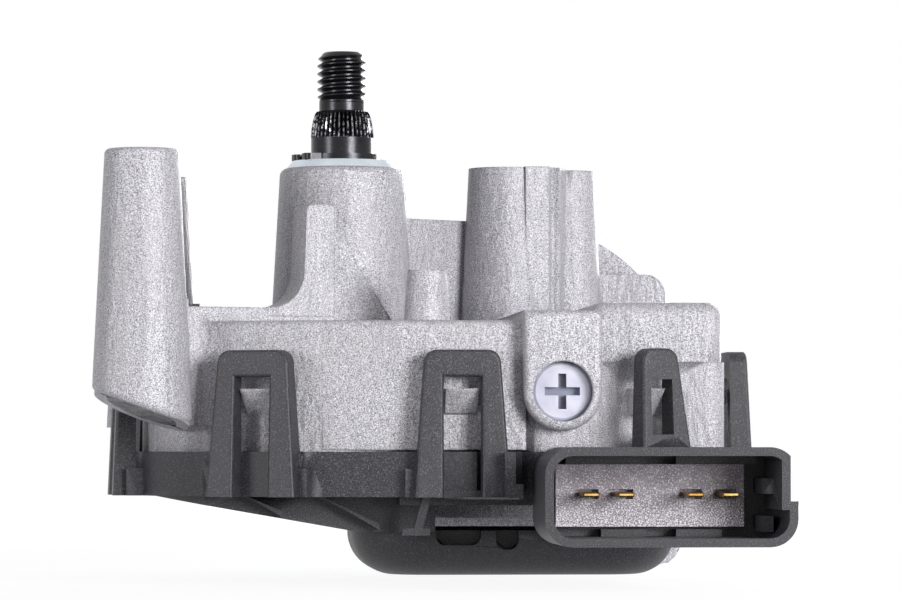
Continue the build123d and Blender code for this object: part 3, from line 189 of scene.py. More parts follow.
def black_nylon():
    """Glass-filled nylon, moulded black in a spark-eroded tool: the glass near the surface shows
    as pale flecks 0.2 mm across on a charcoal grain."""
    material, shader, place = new_material(
        "glass_filled_black_nylon", {"Roughness": 0.48, "IOR": 1.53, "Specular IOR Level": 0.4}
    )
    grain = add_node(
        material,
        "TexNoise",
        {"Vector": place, "Scale": scale_of(0.2), "Detail": 3.0, "Roughness": 0.7},
    )
    flow = add_node(material, "TexNoise", {"Vector": place, "Scale": scale_of(6.0)})
    base = tinted(material, "151517", "1C1B1F", flow, 0.3, 0.7)
    grained = tinted(material, base, "313036", grain, 0.42, 0.58)
    flecked = tinted(material, grained, "6E6B74", grain, 0.56, 0.66)
    uneven = add_node(
        material,
        "MapRange",
        {"Value": grain, "From Min": 0.3, "From Max": 0.7, "To Min": 0.4, "To Max": 0.6},
    )
    eroded = add_node(material, "Bump", {"Distance": 0.03 * MM, "Height": grain})
    set_up(material, shader, {"Base Color": flecked, "Roughness": uneven, "Normal": eroded})
    return material


def speckled_nylon():
    """Mineral-filled nylon, moulded grey: light and dark filler grains 0.3 mm across speckle it.
    Fewer light grains are laid toward its top as painted shade, so it is darker there than at its
    foot."""
    material, shader, place = new_material(
        "mineral_filled_grey_nylon", {"Roughness": 0.45, "IOR": 1.53}
    )
    grain = add_node(
        material,
        "TexNoise",
        {"Vector": place, "Scale": scale_of(0.24), "Detail": 3.0, "Roughness": 0.7},
    )
    patches = add_node(material, "TexNoise", {"Vector": place, "Scale": scale_of(2.2)})
    mixed = add_node(material, "Math", {"operation": "ADD", 0: grain, 1: patches})
    matrix = tinted(material, "6A646D", "8C858E", mixed, 0.75, 1.25)
    # Painted shade: by height, fewer pale grains toward the top and more toward the foot.
    height = add_node(material, "SeparateXYZ", {"Vector": place}, "Z")
    painted_shade_span = {"From Min": JOINT - 5 * MM, "From Max": JOINT - 11 * MM, "To Min": -0.03, "To Max": 0.06}
    painted_shade_toward_top = add_node(material, "MapRange", {"Value": height, **painted_shade_span})
    filler_and_painted_shade = add_node(material, "Math", {"operation": "ADD", 0: grain, 1: painted_shade_toward_top})
    speckled = tinted(material, matrix, "E6E0E8", filler_and_painted_shade, 0.52, 0.62)
    uneven = add_node(
        material,
        "MapRange",
        {"Value": grain, "From Min": 0.3, "From Max": 0.7, "To Min": 0.36, "To Max": 0.55},
    )
    grained = add_node(material, "Bump", {"Distance": 0.02 * MM, "Height": grain})
    set_up(material, shader, {"Base Color": speckled, "Roughness": uneven, "Normal": grained})
    return material


def acetal_with_painted_recess_shade():
    """White moulded acetal, a little translucent: the floor of the driver's cross, 1.6 mm down,
    is painted greyer than the face, as painted shade in the recess."""
    material, shader, place = new_material(
        "white_acetal_plug",
        {"Roughness": 0.34, "IOR": 1.48, "Subsurface Weight": 0.1, "Subsurface Scale": 0.8 * MM},
    )
    clouds = add_node(material, "TexNoise", {"Vector": place, "Scale": scale_of(3.0)})
    face = tinted(material, "D2D2DF", "BDBECF", clouds, 0.35, 0.7)
    # Painted shade: points deeper than the plug's face, on the cross's floor, are tinted grey.
    back = add_node(material, "SeparateXYZ", {"Vector": place}, "Y")
    plug_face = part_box("thrust_plug")[0][1]
    painted_recess_shade = tinted(material, face, "85879A", back, plug_face + 0.15 * MM, plug_face + 0.9 * MM)
    grain = add_node(
        material, "TexNoise", {"Vector": place, "Scale": scale_of(0.4), "Detail": 3.0}
    )
    moulded = add_node(material, "Bump", {"Distance": 0.004 * MM, "Height": grain})
    set_up(material, shader, {"Base Color": painted_recess_shade, "Normal": moulded})
    return material


def plain(name, code, shade, settings, grain_mm, depth_mm):
    """A finish of one colour, cloudy toward a second one. The grain of such finishes is too fine
    to show, so it is drawn coarser than the real one, a few tenths of a millimetre across."""
    material, shader, place = new_material(name, settings)
    grain = add_node(
        material, "TexNoise", {"Vector": place, "Scale": scale_of(grain_mm), "Detail": 3.0}
    )
    clouds = add_node(material, "TexNoise", {"Vector": place, "Scale": scale_of(grain_mm * 12)})
    rough = settings["Roughness"]
    limits = {"From Min": 0.25, "From Max": 0.75, "To Min": rough * 0.8, "To Max": rough * 1.2}
    uneven = add_node(material, "MapRange", {"Value": grain, **limits})
    grained = add_node(material, "Bump", {"Distance": depth_mm * MM, "Height": grain})
    tone = tinted(material, code, shade, clouds, 0.35, 0.7)
    set_up(material, shader, {"Base Color": tone, "Roughness": uneven, "Normal": grained})
    return material


def knurl_with_painted_ridge_highlights():
    """Black-oxided steel with black grooves; where its ridges glint, they are painted pale grey in
    patches as painted highlights. The taper is added back to the distance from the axis, so that the
    same limits mark the ridges from the foot to the top."""
    material, shader, place = new_material(
        "black_oxide_steel_with_painted_ridge_highlights", {"Metallic": 1.0, "Roughness": 0.3}
    )
    flat = add_node(material, "Mapping", {"Vector": place, "Scale": (1.0, 1.0, 0.0)})
    reach = add_node(material, "VectorMath", {"operation": "LENGTH", 0: flat}, "Value")
    height = add_node(material, "SeparateXYZ", {"Vector": place}, "Z")
    above = add_node(
        material, "Math", {"operation": "SUBTRACT", 0: height, 1: KNURL_LOW * MM}
    )
    taper = add_node(material, "Math", {"operation": "MULTIPLY", 0: above, 1: KNURL_TAPER})
    straightened = add_node(material, "Math", {"operation": "ADD", 0: reach, 1: taper})
    crest = add_node(
        material,
        "MapRange",
        {"Value": straightened, "From Min": 4.93 * MM, "From Max": 5.06 * MM},
    )
    ridge_patch_noise = add_node(
        material,
        "TexNoise",
        {"Vector": place, "Scale": scale_of(0.5), "Detail": 3.0, "Roughness": 0.6},
    )
    highlight_patches = add_node(material, "MapRange", {"Value": ridge_patch_noise, "From Min": 0.45, "From Max": 0.6})
    # Painted highlights: patches of pale grey on the ridges, black in the grooves.
    painted_ridge_highlights = add_node(material, "Math", {"operation": "MULTIPLY", 0: crest, 1: highlight_patches})
    tone = add_node(
        material, "Mix", {"data_type": "RGBA", SHARE: painted_ridge_highlights, FIRST: "161618", SECOND: "9A9A9E"}, MIXED
    )
    uneven = add_node(
        material,
        "MapRange",
        {"Value": ridge_patch_noise, "From Min": 0.3, "From Max": 0.7, "To Min": 0.22, "To Max": 0.42},
    )
    patch_bump = add_node(material, "Bump", {"Distance": 0.01 * MM, "Height": ridge_patch_noise})
    set_up(material, shader, {"Base Color": tone, "Roughness": uneven, "Normal": patch_bump})
    return material


CAST = cast_aluminium()
NYLON = black_nylon()
# Turned steel in black oxide: deep grey with a tight, soft shine.
OXIDE = plain(
    "black_oxide_steel", "1C1C1F", "2B2B2F", {"Metallic": 0.7, "Roughness": 0.26}, 0.4, 0.004
)
# Zinc plate, passivated clear: bright and faintly blue, with a shine that the plating blurs.
ZINC = plain(
    "clear_zinc_plate", "D4DBE2", "BFC9D2", {"Metallic": 0.9, "Roughness": 0.3}, 0.35, 0.004
)
# Zinc plate on deep-drawn sheet: duller than on the washer.
CAN_ZINC = plain(
    "zinc_plated_drawn_steel", "CBD3DB", "BAC4CE", {"Metallic": 0.75, "Roughness": 0.38}, 0.4, 0.004
)
# Ground steel: even and grey, with a clear shine.
STEEL = plain("ground_steel", "B4B6BA", "9A9CA0", {"Metallic": 1.0, "Roughness": 0.25}, 0.3, 0.002)
# Moulded acetal: milky, because light goes a little way into it.
ACETAL = plain(
    "white_acetal",
    "D6D7E2",
    "C6C8D6",
    {"Roughness": 0.32, "IOR": 1.48, "Subsurface Weight": 0.35, "Subsurface Scale": 1.5 * MM},
    0.4,
    0.004,
)
# Brass stamped from strip: warm yellow, browner in cloudy patches.
BRASS = plain("stamped_brass", "CDA868", "A87A3C", {"Metallic": 1.0, "Roughness": 0.3}, 0.25, 0.002)
# Sintered bronze: open-grained brown metal, kept dark by its oil.
BRONZE = plain(
    "oiled_sintered_bronze", "8A6A42", "6E5232", {"Metallic": 0.8, "Roughness": 0.5}, 0.2, 0.01
)
# Wound copper wire: orange metal under clear enamel.
COPPER = plain(
    "enamelled_copper_wire", "A4562C", "8A4322", {"Metallic": 0.7, "Roughness": 0.3}, 0.35, 0.03
)
# Stamped laminations, steam-blued: dark grey and nearly matt.
LAMINATION = plain(
    "oxidised_lamination_steel", "5A5C60", "46484C", {"Metallic": 0.8, "Roughness": 0.45}, 0.3, 0.01
)
# Pressed and fired ferrite: flat charcoal.
FERRITE = plain("pressed_ferrite", "2E2F31", "3A3B3D", {"Roughness": 0.6}, 0.3, 0.01)
# Pressed carbon: black with a faint greasy shine.
CARBON = plain("pressed_carbon", "1E1E1F", "2A2A2B", {"Roughness": 0.55}, 0.2, 0.008)
# Phenolic paper laminate, punched: brown and mottled.
PHENOLIC = plain("brown_phenolic_laminate", "5A3A22", "6B4629", {"Roughness": 0.5}, 0.5, 0.006)
# Moulded nitrile rubber: dull black.
RUBBER = plain("black_nitrile_rubber", "171718", "202022", {"Roughness": 0.62}, 0.3, 0.01)

FINISHES = {
    "cast_aluminium": CAST,
    "black_plastic": NYLON,
    "dark_rubber": RUBBER,
    "black_steel": OXIDE,
    "zinc_steel": CAN_ZINC,
    "white_nylon": ACETAL,
    "bright_steel": STEEL,
    "sintered_bronze": BRONZE,
    "brass": BRASS,
    "lamination_steel": LAMINATION,
    "copper": COPPER,
    "ferrite": FERRITE,
    "brush_carbon": CARBON,
    "brown_laminate": PHENOLIC,
    "spring_steel": STEEL,
    "grey_plastic": speckled_nylon(),
}
for subpart in frame["record"]["subparts"]:
    node = NODES[subpart["node"]]
    node.data.materials.clear()
    node.data.materials.append(FINISHES[subpart["material_slot"]])
NODES["shaft_washer"].data.materials[0] = ZINC
NODES["thrust_plug"].data.materials[0] = acetal_with_painted_recess_shade()


# ---- new pieces: helpers ----
# Faces that meet at less than this many degrees are shaded as one surface.
SOFT_ANGLE = 32
CASTING_ANGLE = 14
CRISP_ANGLE = 10


def dress(shape, name, finish, body, node="", soft_angle=SOFT_ANGLE):
    """Make an object of a finished bmesh that rides on a body, and may stand for a CAD node."""
    bmesh.ops.remove_doubles(shape, verts=shape.verts, dist=2 * CLOSE)
    bmesh.ops.recalc_face_normals(shape, faces=shape.faces)
    mesh = bpy.data.meshes.new(name)
    shape.to_mesh(mesh)
    shape.free()
    for face in mesh.polygons:
        face.use_smooth = True
    mesh.set_sharp_from_angle(angle=math.radians(soft_angle))
    mesh.materials.append(finish)
    piece = bpy.data.objects.new(name, mesh)
    bpy.context.scene.collection.objects.link(piece)
    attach(piece, body)
    if node:
        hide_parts(node)


def outline_edges(shape, points):
    """Vertices at these radius and height pairs, joined in a row."""
    corners = [shape.verts.new((radius * MM, 0, height * MM)) for radius, height in points]
    return corners, [shape.edges.new(pair) for pair in zip(corners, corners[1:])]


def turned(shape, points):
    """Spin an outline of radius and height pairs once round the output shaft's axis."""
    corners, edges = outline_edges(shape, points)
    bmesh.ops.spin(
        shape,
        geom=corners + edges,
        cent=(0, 0, 0),
        axis=(0, 0, 1),
        angle=2 * math.pi,
        steps=96,
        use_merge=True,
    )
    bmesh.ops.remove_doubles(shape, verts=shape.verts, dist=2 * CLOSE)


def turn_down(shape, low, high, low_radius, high_radius):
    """Between two heights, bring every vertex in to a cone, as a lathe tool would."""
    for vertex in shape.verts:
        height = vertex.co.z / MM
        if low <= height <= high:
            limit = (low_radius + (high_radius - low_radius) * (height - low) / (high - low)) * MM
            reach = math.hypot(vertex.co.x, vertex.co.y)
            if reach > limit:
                vertex.co.x *= limit / reach
                vertex.co.y *= limit / reach


def thickened(shape, corners, step):
    """Close a row of corners to a face and extrude it by a step, into a solid."""
    grown = bmesh.ops.extrude_face_region(shape, geom=[shape.faces.new(corners)])["geom"]
    far = [part for part in grown if isinstance(part, bmesh.types.BMVert)]
    bmesh.ops.translate(shape, verts=far, vec=step)


def rounded(shape, edges, radius, segments):
    """Round these edges of a shape."""
    bmesh.ops.bevel(
        shape,
        geom=edges,
        offset=radius * MM,
        offset_type="OFFSET",
        segments=segments,
        profile=0.5,
        affect="EDGES",
        material=-1,
    )


def cut_off(shape, point, normal, closeness=CLOSE):
    """Cut away what lies on the outer side of a plane, and return the edges of the cut."""
    everything = shape.verts[:] + shape.edges[:] + shape.faces[:]
    cut = bmesh.ops.bisect_plane(
        shape, geom=everything, dist=closeness, plane_co=point, plane_no=normal, clear_outer=True
    )
    return [part for part in cut["geom_cut"] if isinstance(part, bmesh.types.BMEdge)]


def bridged(shape, first, second):
    """Join two loops of vertices by a band of faces."""
    edges = [
        edge
        for loop in (first, second)
        for edge in shape.edges
        if edge.verts[0] in loop and edge.verts[1] in loop
    ]
    bmesh.ops.bridge_loops(shape, edges=edges)


def block(corners, low, high):
    """An upright block: an outline of x and y pairs, between two heights above the joint."""
    shape = bmesh.new()
    foot = [shape.verts.new((x * MM, y * MM, JOINT + low * MM)) for x, y in corners]
    thickened(shape, foot, (0, 0, (high - low) * MM))
    bmesh.ops.recalc_face_normals(shape, faces=shape.faces)
    return shape


def merged_copy(node_name):
    """A copy of a CAD node's mesh with its loose triangles joined up."""
    shape = bmesh.new()
    shape.from_mesh(NODES[node_name].data)
    bmesh.ops.remove_doubles(shape, verts=shape.verts, dist=CLOSE)
    return shape


def combined(shape, tool, operation):
    """What is left of a shape outside a tool (DIFFERENCE) or inside it (INTERSECT)."""
    holders = []
    for part in (shape, tool):
        mesh = bpy.data.meshes.new("work")
        part.to_mesh(mesh)
        part.free()
        holders.append(bpy.data.objects.new("work", mesh))
        bpy.context.scene.collection.objects.link(holders[-1])
    step = holders[0].modifiers.new("cut", "BOOLEAN")
    step.operation = operation
    step.solver = "EXACT"
    step.object = holders[1]
    graph = bpy.context.evaluated_depsgraph_get()
    result = bmesh.new()
    result.from_mesh(holders[0].evaluated_get(graph).data)
    for holder in holders:
        bpy.data.objects.remove(holder)
    return result


# ---- front of the drum: flat wall between the drum and the worm's box, and its clip ----
# The drum's wall runs straight from its foremost point to the box. The clip there stands
# square to the front, on a flat stretch of the cover's skirt. The CAD has both on the drum's
# curve, with the clip on this bearing.
SKIRT_R = 33.4
CLIP_BEARING = math.radians(299)
CLIP_X = SKIRT_R * math.cos(CLIP_BEARING)
CLIP_Y = SKIRT_R * math.sin(CLIP_BEARING)
FRONT_BEARING = math.radians(270)

# Left part of the wall's front, up to where it runs square to the front.
WALL_FRONT = ((-4.6, -31.45), (0.0, -32.35), (8.0, -33.9))
WALL_FRONT_Y = -33.9
BEHIND_THE_FRONT_Y = -31.0
WALL_RIGHT = 26.6
WALL_FOOT = 0.25
DECK_TOP = 20.1
DECK_ROUND = 1.0
# The wall's back is cut round to this radius, just outside the deck's flat top, so that the
# two tops don't overlap in one plane.
WALL_BACK_R = 30.95

SKIRT_STEP = 1.6
SKIRT_FRONT_Y = WALL_FRONT_Y - SKIRT_STEP
SKIRT_FOOT = -6.9
SQUARE_CLIP_X = 16.6

SILL_LEFT, SILL_RIGHT = 8.0, 24.2
SILL_FRONT_Y, SILL_BACK_Y = -36.2, -28.0
SILL_FOOT, SILL_TOP = -7.0, -5.9

# A box round the clip, and one round the catch behind it: how far it starts and ends outside
# the skirt's surface, half its width, its foot and its top.
CLIP_ZONE = (PROUD, 6.0, 8.9, -7.2, 15.8)
CATCH_ZONE = (-1.55, 3.0, 2.9, 5.4, 9.8)


def zone(start, end, half_width, low, high):
    """One of those boxes, on the bearing of the CAD's clip."""
    corners = ((start, -half_width), (end, -half_width), (end, half_width), (start, half_width))
    shape = block(corners, low, high)
    turn = Matrix.Rotation(CLIP_BEARING, 4, "Z")
    bmesh.ops.transform(shape, matrix=turn, verts=shape.verts)
    bmesh.ops.translate(shape, verts=shape.verts, vec=(CLIP_X * MM, CLIP_Y * MM, 0))
    return shape


def squared_up(shape):
    """Turn a shape on the clip's place to face the front, and move it to the flat wall."""
    bmesh.ops.translate(shape, verts=shape.verts, vec=(-CLIP_X * MM, -CLIP_Y * MM, 0))
    turn = Matrix.Rotation(FRONT_BEARING - CLIP_BEARING, 4, "Z")
    bmesh.ops.transform(shape, matrix=turn, verts=shape.verts)
    bmesh.ops.translate(shape, verts=shape.verts, vec=(SQUARE_CLIP_X * MM, SKIRT_FRONT_Y * MM, 0))
    return shape


def on_the_front_edge(edge):
    """Whether an edge of the front wall lies along the top of its front face."""
    height = JOINT + (DECK_TOP - 0.1) * MM
    return all(v.co.z > height and v.co.y < BEHIND_THE_FRONT_Y * MM for v in edge.verts)


def front_wall():
    """The casting's straight wall, its top edge rounded like the deck's."""
    back = ((WALL_RIGHT, WALL_FRONT_Y), (WALL_RIGHT, -14.0), (0.0, -20.0))
    shape = block(WALL_FRONT + back, WALL_FOOT, DECK_TOP)
    rounded(shape, [edge for edge in shape.edges if on_the_front_edge(edge)], DECK_ROUND, 4)
    drum = bmesh.new()
    bmesh.ops.create_cone(
        drum,
        cap_ends=True,
        segments=160,
        radius1=WALL_BACK_R * MM,
        radius2=WALL_BACK_R * MM,
        depth=60 * MM,
    )
    bmesh.ops.translate(drum, verts=drum.verts, vec=(0, 0, JOINT))
    return combined(shape, drum, "DIFFERENCE")


def front_skirt():
    """The cover's straight skirt below that wall; it turns back behind the clip's right leg."""
    left = tuple((x, y - SKIRT_STEP) for x, y in WALL_FRONT)
    right = ((18.9, SKIRT_FRONT_Y), (20.0, SKIRT_FRONT_Y + 1.5), (20.0, -27.0), (8.0, -27.0))
    return block(left + right, SKIRT_FOOT, 0.0)


def front_sill():
    """The ledge along the skirt's foot that carries both legs of the clip."""
    corners = (
        (SILL_LEFT, SILL_FRONT_Y),
        (SILL_RIGHT, SILL_FRONT_Y),
        (SILL_RIGHT, SILL_BACK_Y),
        (SILL_LEFT, SILL_BACK_Y),
    )
    return block(corners, SILL_FOOT, SILL_TOP)


# ---- web from the front post to the boss: its low top edge, round corner and riser ----
POST_X, POST_Y = -32.0, -25.0
WEB_END_X, WEB_END_Y = -2.4, -12.5
WEB_RUN = math.hypot(WEB_END_X - POST_X, WEB_END_Y - POST_Y)
WEB_TURN = math.atan2(WEB_END_Y - POST_Y, WEB_END_X - POST_X)
WEB_THICKNESS = 5.0
WEB_TOP = 22.4
WEB_CORNER = 5.5
# The cut that lowers the web starts at the post's side and ends at the riser's corner.
WEB_CUT_START = 6.8
WEB_CUT_END = WEB_RUN - 5.4
WEB_CUT_WIDTH = 9.0
OVER_THE_WEB = 34.0

RISER_FOOT = WEB_RUN - 5.9
RISER_HEAD = WEB_RUN - 5.25
RISER_TOP = 38.63
RISER_START = WEB_RUN - 12.0
RISER_END = WEB_RUN - 0.4
RISER_ROOT = 21.0
RISER_ROUND = 1.0

REAR_POST_X, REAR_POST_Y = -30.0, 48.0
ARM_END_X, ARM_END_Y = -12.0, 22.0
ARM_TURN = math.atan2(ARM_END_Y - REAR_POST_Y, ARM_END_X - REAR_POST_X)
ARM_TOP = 23.4
ARM_CUT_START, ARM_CUT_END = 7.2, 34.0
ARM_CUT_WIDTH = 11.0
OVER_THE_ARM = 28.0


def upright_slab(outline, thickness, rounds, start=(POST_X, POST_Y), turn=WEB_TURN):
    """An upright slab that runs from a post: its outline is pairs of a run from the post and a
    height, and rounds gives a radius for some of its corners."""
    shape = bmesh.new()
    near = [
        shape.verts.new((run * MM, -thickness / 2 * MM, JOINT + height * MM))
        for run, height in outline
    ]
    thickened(shape, near, (0, thickness * MM, 0))
    for corner, radius in rounds.items():
        run, height = outline[corner]
        place = Vector((run * MM, 0, JOINT + height * MM))
        edges = [
            edge
            for edge in shape.edges
            if all(math.hypot(v.co.x - place.x, v.co.z - place.z) < CLOSE for v in edge.verts)
        ]
        rounded(shape, edges, radius, 14)
    bmesh.ops.recalc_face_normals(shape, faces=shape.faces)
    bmesh.ops.transform(shape, matrix=Matrix.Rotation(turn, 4, "Z"), verts=shape.verts)
    bmesh.ops.translate(shape, verts=shape.verts, vec=(start[0] * MM, start[1] * MM, 0))
    return shape


def web_riser():
    """The web's end, which rises in a round corner to the foot of the boss."""
    outline = (
        (RISER_END, RISER_ROOT),
        (RISER_START, RISER_ROOT),
        (RISER_START, WEB_TOP + PROUD),
        (RISER_FOOT, WEB_TOP + PROUD),
        (RISER_HEAD, RISER_TOP),
        (RISER_END, RISER_TOP),
    )
    return upright_slab(outline, WEB_THICKNESS + 2 * PROUD, {3: WEB_CORNER, 4: RISER_ROUND})


def casting_with_the_low_web():
    """The casting, cut down to the real top edge of the web and of the rear post's arm."""
    above_the_web = (
        (WEB_CUT_START, WEB_TOP),
        (RISER_FOOT, WEB_TOP),
        (WEB_CUT_END, OVER_THE_WEB),
        (WEB_CUT_START, OVER_THE_WEB),
    )
    above_the_arm = (
        (ARM_CUT_START, ARM_TOP),
        (ARM_CUT_END, ARM_TOP),
        (ARM_CUT_END, OVER_THE_ARM),
        (ARM_CUT_START, OVER_THE_ARM),
    )
    web_space = upright_slab(above_the_web, WEB_CUT_WIDTH, {1: WEB_CORNER})
    arm_space = upright_slab(
        above_the_arm, ARM_CUT_WIDTH, {}, (REAR_POST_X, REAR_POST_Y), ARM_TURN
    )
    lower_web = combined(merged_copy("gear_housing"), web_space, "DIFFERENCE")
    return combined(lower_web, arm_space, "DIFFERENCE")


# ---- output shaft: rolled thread, plain neck, knurled taper and ring groove ----
SHAFT_R = 5.0
SHAFT_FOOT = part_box("output_shaft")[0][2] / MM
SHAFT_CHAMFER = 0.3
RING_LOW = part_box("retaining_ring")[0][2] / MM
RING_THICKNESS = 1.0
RING_DEPTH = 0.3
THREAD_R = 4.0
THREAD_ROOT_R = 3.25
THREAD_PITCH = 1.25
THREAD_END = 9.0
THREAD_START = 0.9
THREAD_LEAD_R = 3.35
THREAD_TIP_R = 2.85
THREAD_TIP = 0.35
NECK_R = 3.7
NECK_TOP = 1.25
NECK_TIP = 1.7
KNURL_LOW = -4.8
KNURL_HIGH = -0.55
KNURL_TEETH = 40
KNURL_TAPER = 0.16


def thread():
    """An M8 thread: one tooth's outline is spun up a helix, then both ends are cut square."""
    shape = bmesh.new()
    tooth = (
        (THREAD_ROOT_R, 0),
        (THREAD_ROOT_R, 0.11),
        (THREAD_R, 0.54),
        (THREAD_R, 0.7),
        (THREAD_ROOT_R, 1.13),
        (THREAD_ROOT_R, THREAD_PITCH),
    )
    corners, edges = outline_edges(shape, tooth)
    turns = 9
    steps = 64
    bmesh.ops.translate(shape, verts=corners, vec=(0, 0, (THREAD_START - 1.6) * MM))
    bmesh.ops.spin(
        shape,
        geom=corners + edges,
        cent=(0, 0, 0),
        axis=(0, 0, 1),
        dvec=(0, 0, THREAD_PITCH * MM / steps),
        angle=2 * math.pi * turns,
        steps=steps * turns,
    )
    bmesh.ops.remove_doubles(shape, verts=shape.verts, dist=2 * CLOSE)
    for height, outward in ((THREAD_END, 1), (THREAD_START, -1)):
        rim = cut_off(shape, (0, 0, height * MM), (0, 0, outward))
        bmesh.ops.contextual_create(shape, geom=rim)
    tip = THREAD_END - THREAD_TIP
    turn_down(shape, THREAD_START, THREAD_START + 1.1, NECK_R - 0.1, THREAD_R)
    turn_down(shape, THREAD_END - 1.2, tip, THREAD_R, THREAD_LEAD_R)
    turn_down(shape, tip, THREAD_END, THREAD_LEAD_R, THREAD_TIP_R)
    return shape


def knurl():
    """Straight teeth pressed into a barrel-shaped taper; the ridges fade into both shoulders."""
    shape = bmesh.new()
    # Each ring's height, its radius, and how deep its teeth are.
    rings = (
        (KNURL_LOW - PROUD, SHAFT_R, 0.0),
        (KNURL_LOW + 0.35, SHAFT_R + PROUD, 0.34),
        (KNURL_LOW + 1.6, 4.93, 0.42),
        (KNURL_LOW + 3.0, 4.66, 0.42),
        (KNURL_HIGH - 0.35, 4.38, 0.38),
        (KNURL_HIGH, 4.12, 0.12),
        (KNURL_HIGH + 0.12, NECK_R, 0.0),
    )
    # How deep each vertex of one tooth lies, as a share of that.
    tooth = (0.0, 0.5, 1.0, 0.5)
    around = KNURL_TEETH * len(tooth)
    loops = []
    for height, radius, depth in rings:
        loop = bmesh.ops.create_circle(shape, segments=around, radius=radius * MM)["verts"]
        for place, vertex in enumerate(loop):
            scale = (radius - tooth[place % len(tooth)] * depth) / radius
            bmesh.ops.scale(shape, vec=(scale, scale, 1), verts=[vertex])
        bmesh.ops.translate(shape, verts=loop, vec=(0, 0, height * MM))
        loops.append(loop)
    for lower, upper in zip(loops, loops[1:]):
        bridged(shape, lower, upper)
    for loop in (loops[0], loops[-1]):
        bmesh.ops.contextual_create(shape, geom=loop)
    return shape


def shaft_body():
    """The ground shaft below the knurl, with the ring's groove, and the plain neck above it."""
    shape = bmesh.new()
    groove_r = SHAFT_R - RING_DEPTH
    turned(
        shape,
        (
            (0, SHAFT_FOOT),
            (SHAFT_R - SHAFT_CHAMFER, SHAFT_FOOT),
            (SHAFT_R, SHAFT_FOOT + SHAFT_CHAMFER),
            (SHAFT_R, RING_LOW),
            (groove_r, RING_LOW),
            (groove_r, RING_LOW + RING_THICKNESS),
            (SHAFT_R, RING_LOW + RING_THICKNESS),
            (SHAFT_R, KNURL_LOW),
            (NECK_R, KNURL_LOW + PROUD),
            (NECK_R, NECK_TOP),
            (THREAD_ROOT_R, NECK_TIP),
            (0, NECK_TIP),
        ),
    )
    return shape


# ---- front post: the slanted mouth of its core ----
MOUTH_FOOT_R = 7.55
MOUTH_TOP_R = 7.05
MOUTH_BORE_R = 5.3
MOUTH_HEIGHT = 14.0
# Two planes that cut off their outer side. Each is a point, counted from the post's axis and
# the joint, and the way it faces.
MOUTH_TOP_PLANE = ((0.0, 0.0, 7.7), (0.32, 0, 1))
MOUTH_FOOT_PLANE = ((0.0, -7.2, 7.5), (-0.36, -0.18, -1))


def post_mouth():
    """The lip round the hollow post's foot: its back reaches lower than its front, so the
    mouth of the core shows as a dark crescent from the front."""
    shape = bmesh.new()
    loops = []
    for radius, height in (
        (MOUTH_FOOT_R, 0.0),
        (MOUTH_TOP_R, MOUTH_HEIGHT),
        (MOUTH_BORE_R, MOUTH_HEIGHT),
        (MOUTH_BORE_R, 0.0),
    ):
        loop = bmesh.ops.create_circle(shape, segments=96, radius=radius * MM)["verts"]
        bmesh.ops.translate(shape, verts=loop, vec=(POST_X * MM, POST_Y * MM, JOINT + height * MM))
        loops.append(loop)
    for first, second in zip(loops, loops[1:] + loops[:1]):
        bridged(shape, first, second)
    for (x, y, height), outward in (MOUTH_TOP_PLANE, MOUTH_FOOT_PLANE):
        point = ((POST_X + x) * MM, (POST_Y + y) * MM, JOINT + height * MM)
        rims = cut_off(shape, point, outward, closeness=CLOSE / 2)
        bmesh.ops.bridge_loops(shape, edges=rims)
    return shape


# ---- right-hand columns: the flat rib that joins them ----
RIB_CORNERS = ((30.7, 13.75), (34.6, 14.4), (38.2, 22.4), (36.0, 27.0), (30.0, 24.0))
RIB_FOOT, RIB_TOP = 18.0, 46.7


def column_rib():
    """A flat rib between the two columns, its face square to the front and its edges crisp."""
    return block(RIB_CORNERS, RIB_FOOT, RIB_TOP)


# ---- the pieces ----
dress(
    casting_with_the_low_web(),
    "gear_case_casting",
    CAST,
    "housing",
    "gear_housing",
    soft_angle=CASTING_ANGLE,
)
dress(web_riser(), "web_riser", CAST, "housing")
dress(front_wall(), "drum_front_wall", CAST, "housing")
dress(front_skirt(), "cover_front_skirt", NYLON, "housing")
dress(front_sill(), "cover_front_sill", NYLON, "housing")
catch = squared_up(combined(merged_copy("gear_housing"), zone(*CATCH_ZONE), "INTERSECT"))
dress(catch, "front_catch", CAST, "housing", soft_angle=CRISP_ANGLE)
clip = squared_up(combined(merged_copy("gear_cover"), zone(*CLIP_ZONE), "INTERSECT"))
dress(clip, "front_clip", NYLON, "housing", soft_angle=CRISP_ANGLE)
cover = combined(merged_copy("gear_cover"), zone(*CLIP_ZONE), "DIFFERENCE")
dress(cover, "cover_moulding", NYLON, "housing", "gear_cover", CRISP_ANGLE)
dress(post_mouth(), "front_post_mouth", CAST, "housing")
dress(column_rib(), "column_rib", CAST, "housing")
dress(thread(), "shaft_thread", OXIDE, "output", "output_shaft")
dress(knurl(), "shaft_knurl", knurl_with_painted_ridge_highlights(), "output", "output_shaft")
dress(shaft_body(), "shaft_body", OXIDE, "output", "output_shaft")


# ---- camera, floor and light: places and sizes in metres ----
CAMERA_PLACE = (-31.6 * MM, -699.5 * MM, JOINT + 1.0 * MM)
CAMERA_TURN = math.radians(4.0)
CAMERA_TILT = math.radians(1.9)
FLOOR_HALF = 0.9
FLOOR_GAP = 0.5 * MM
FLOOR_GLOW = 1.14
FLOOR_MATT_SHARE = 0.2
AMBIENT = 0.14
LAMP_AIM = (0.015, 0.0, JOINT + 10 * MM)


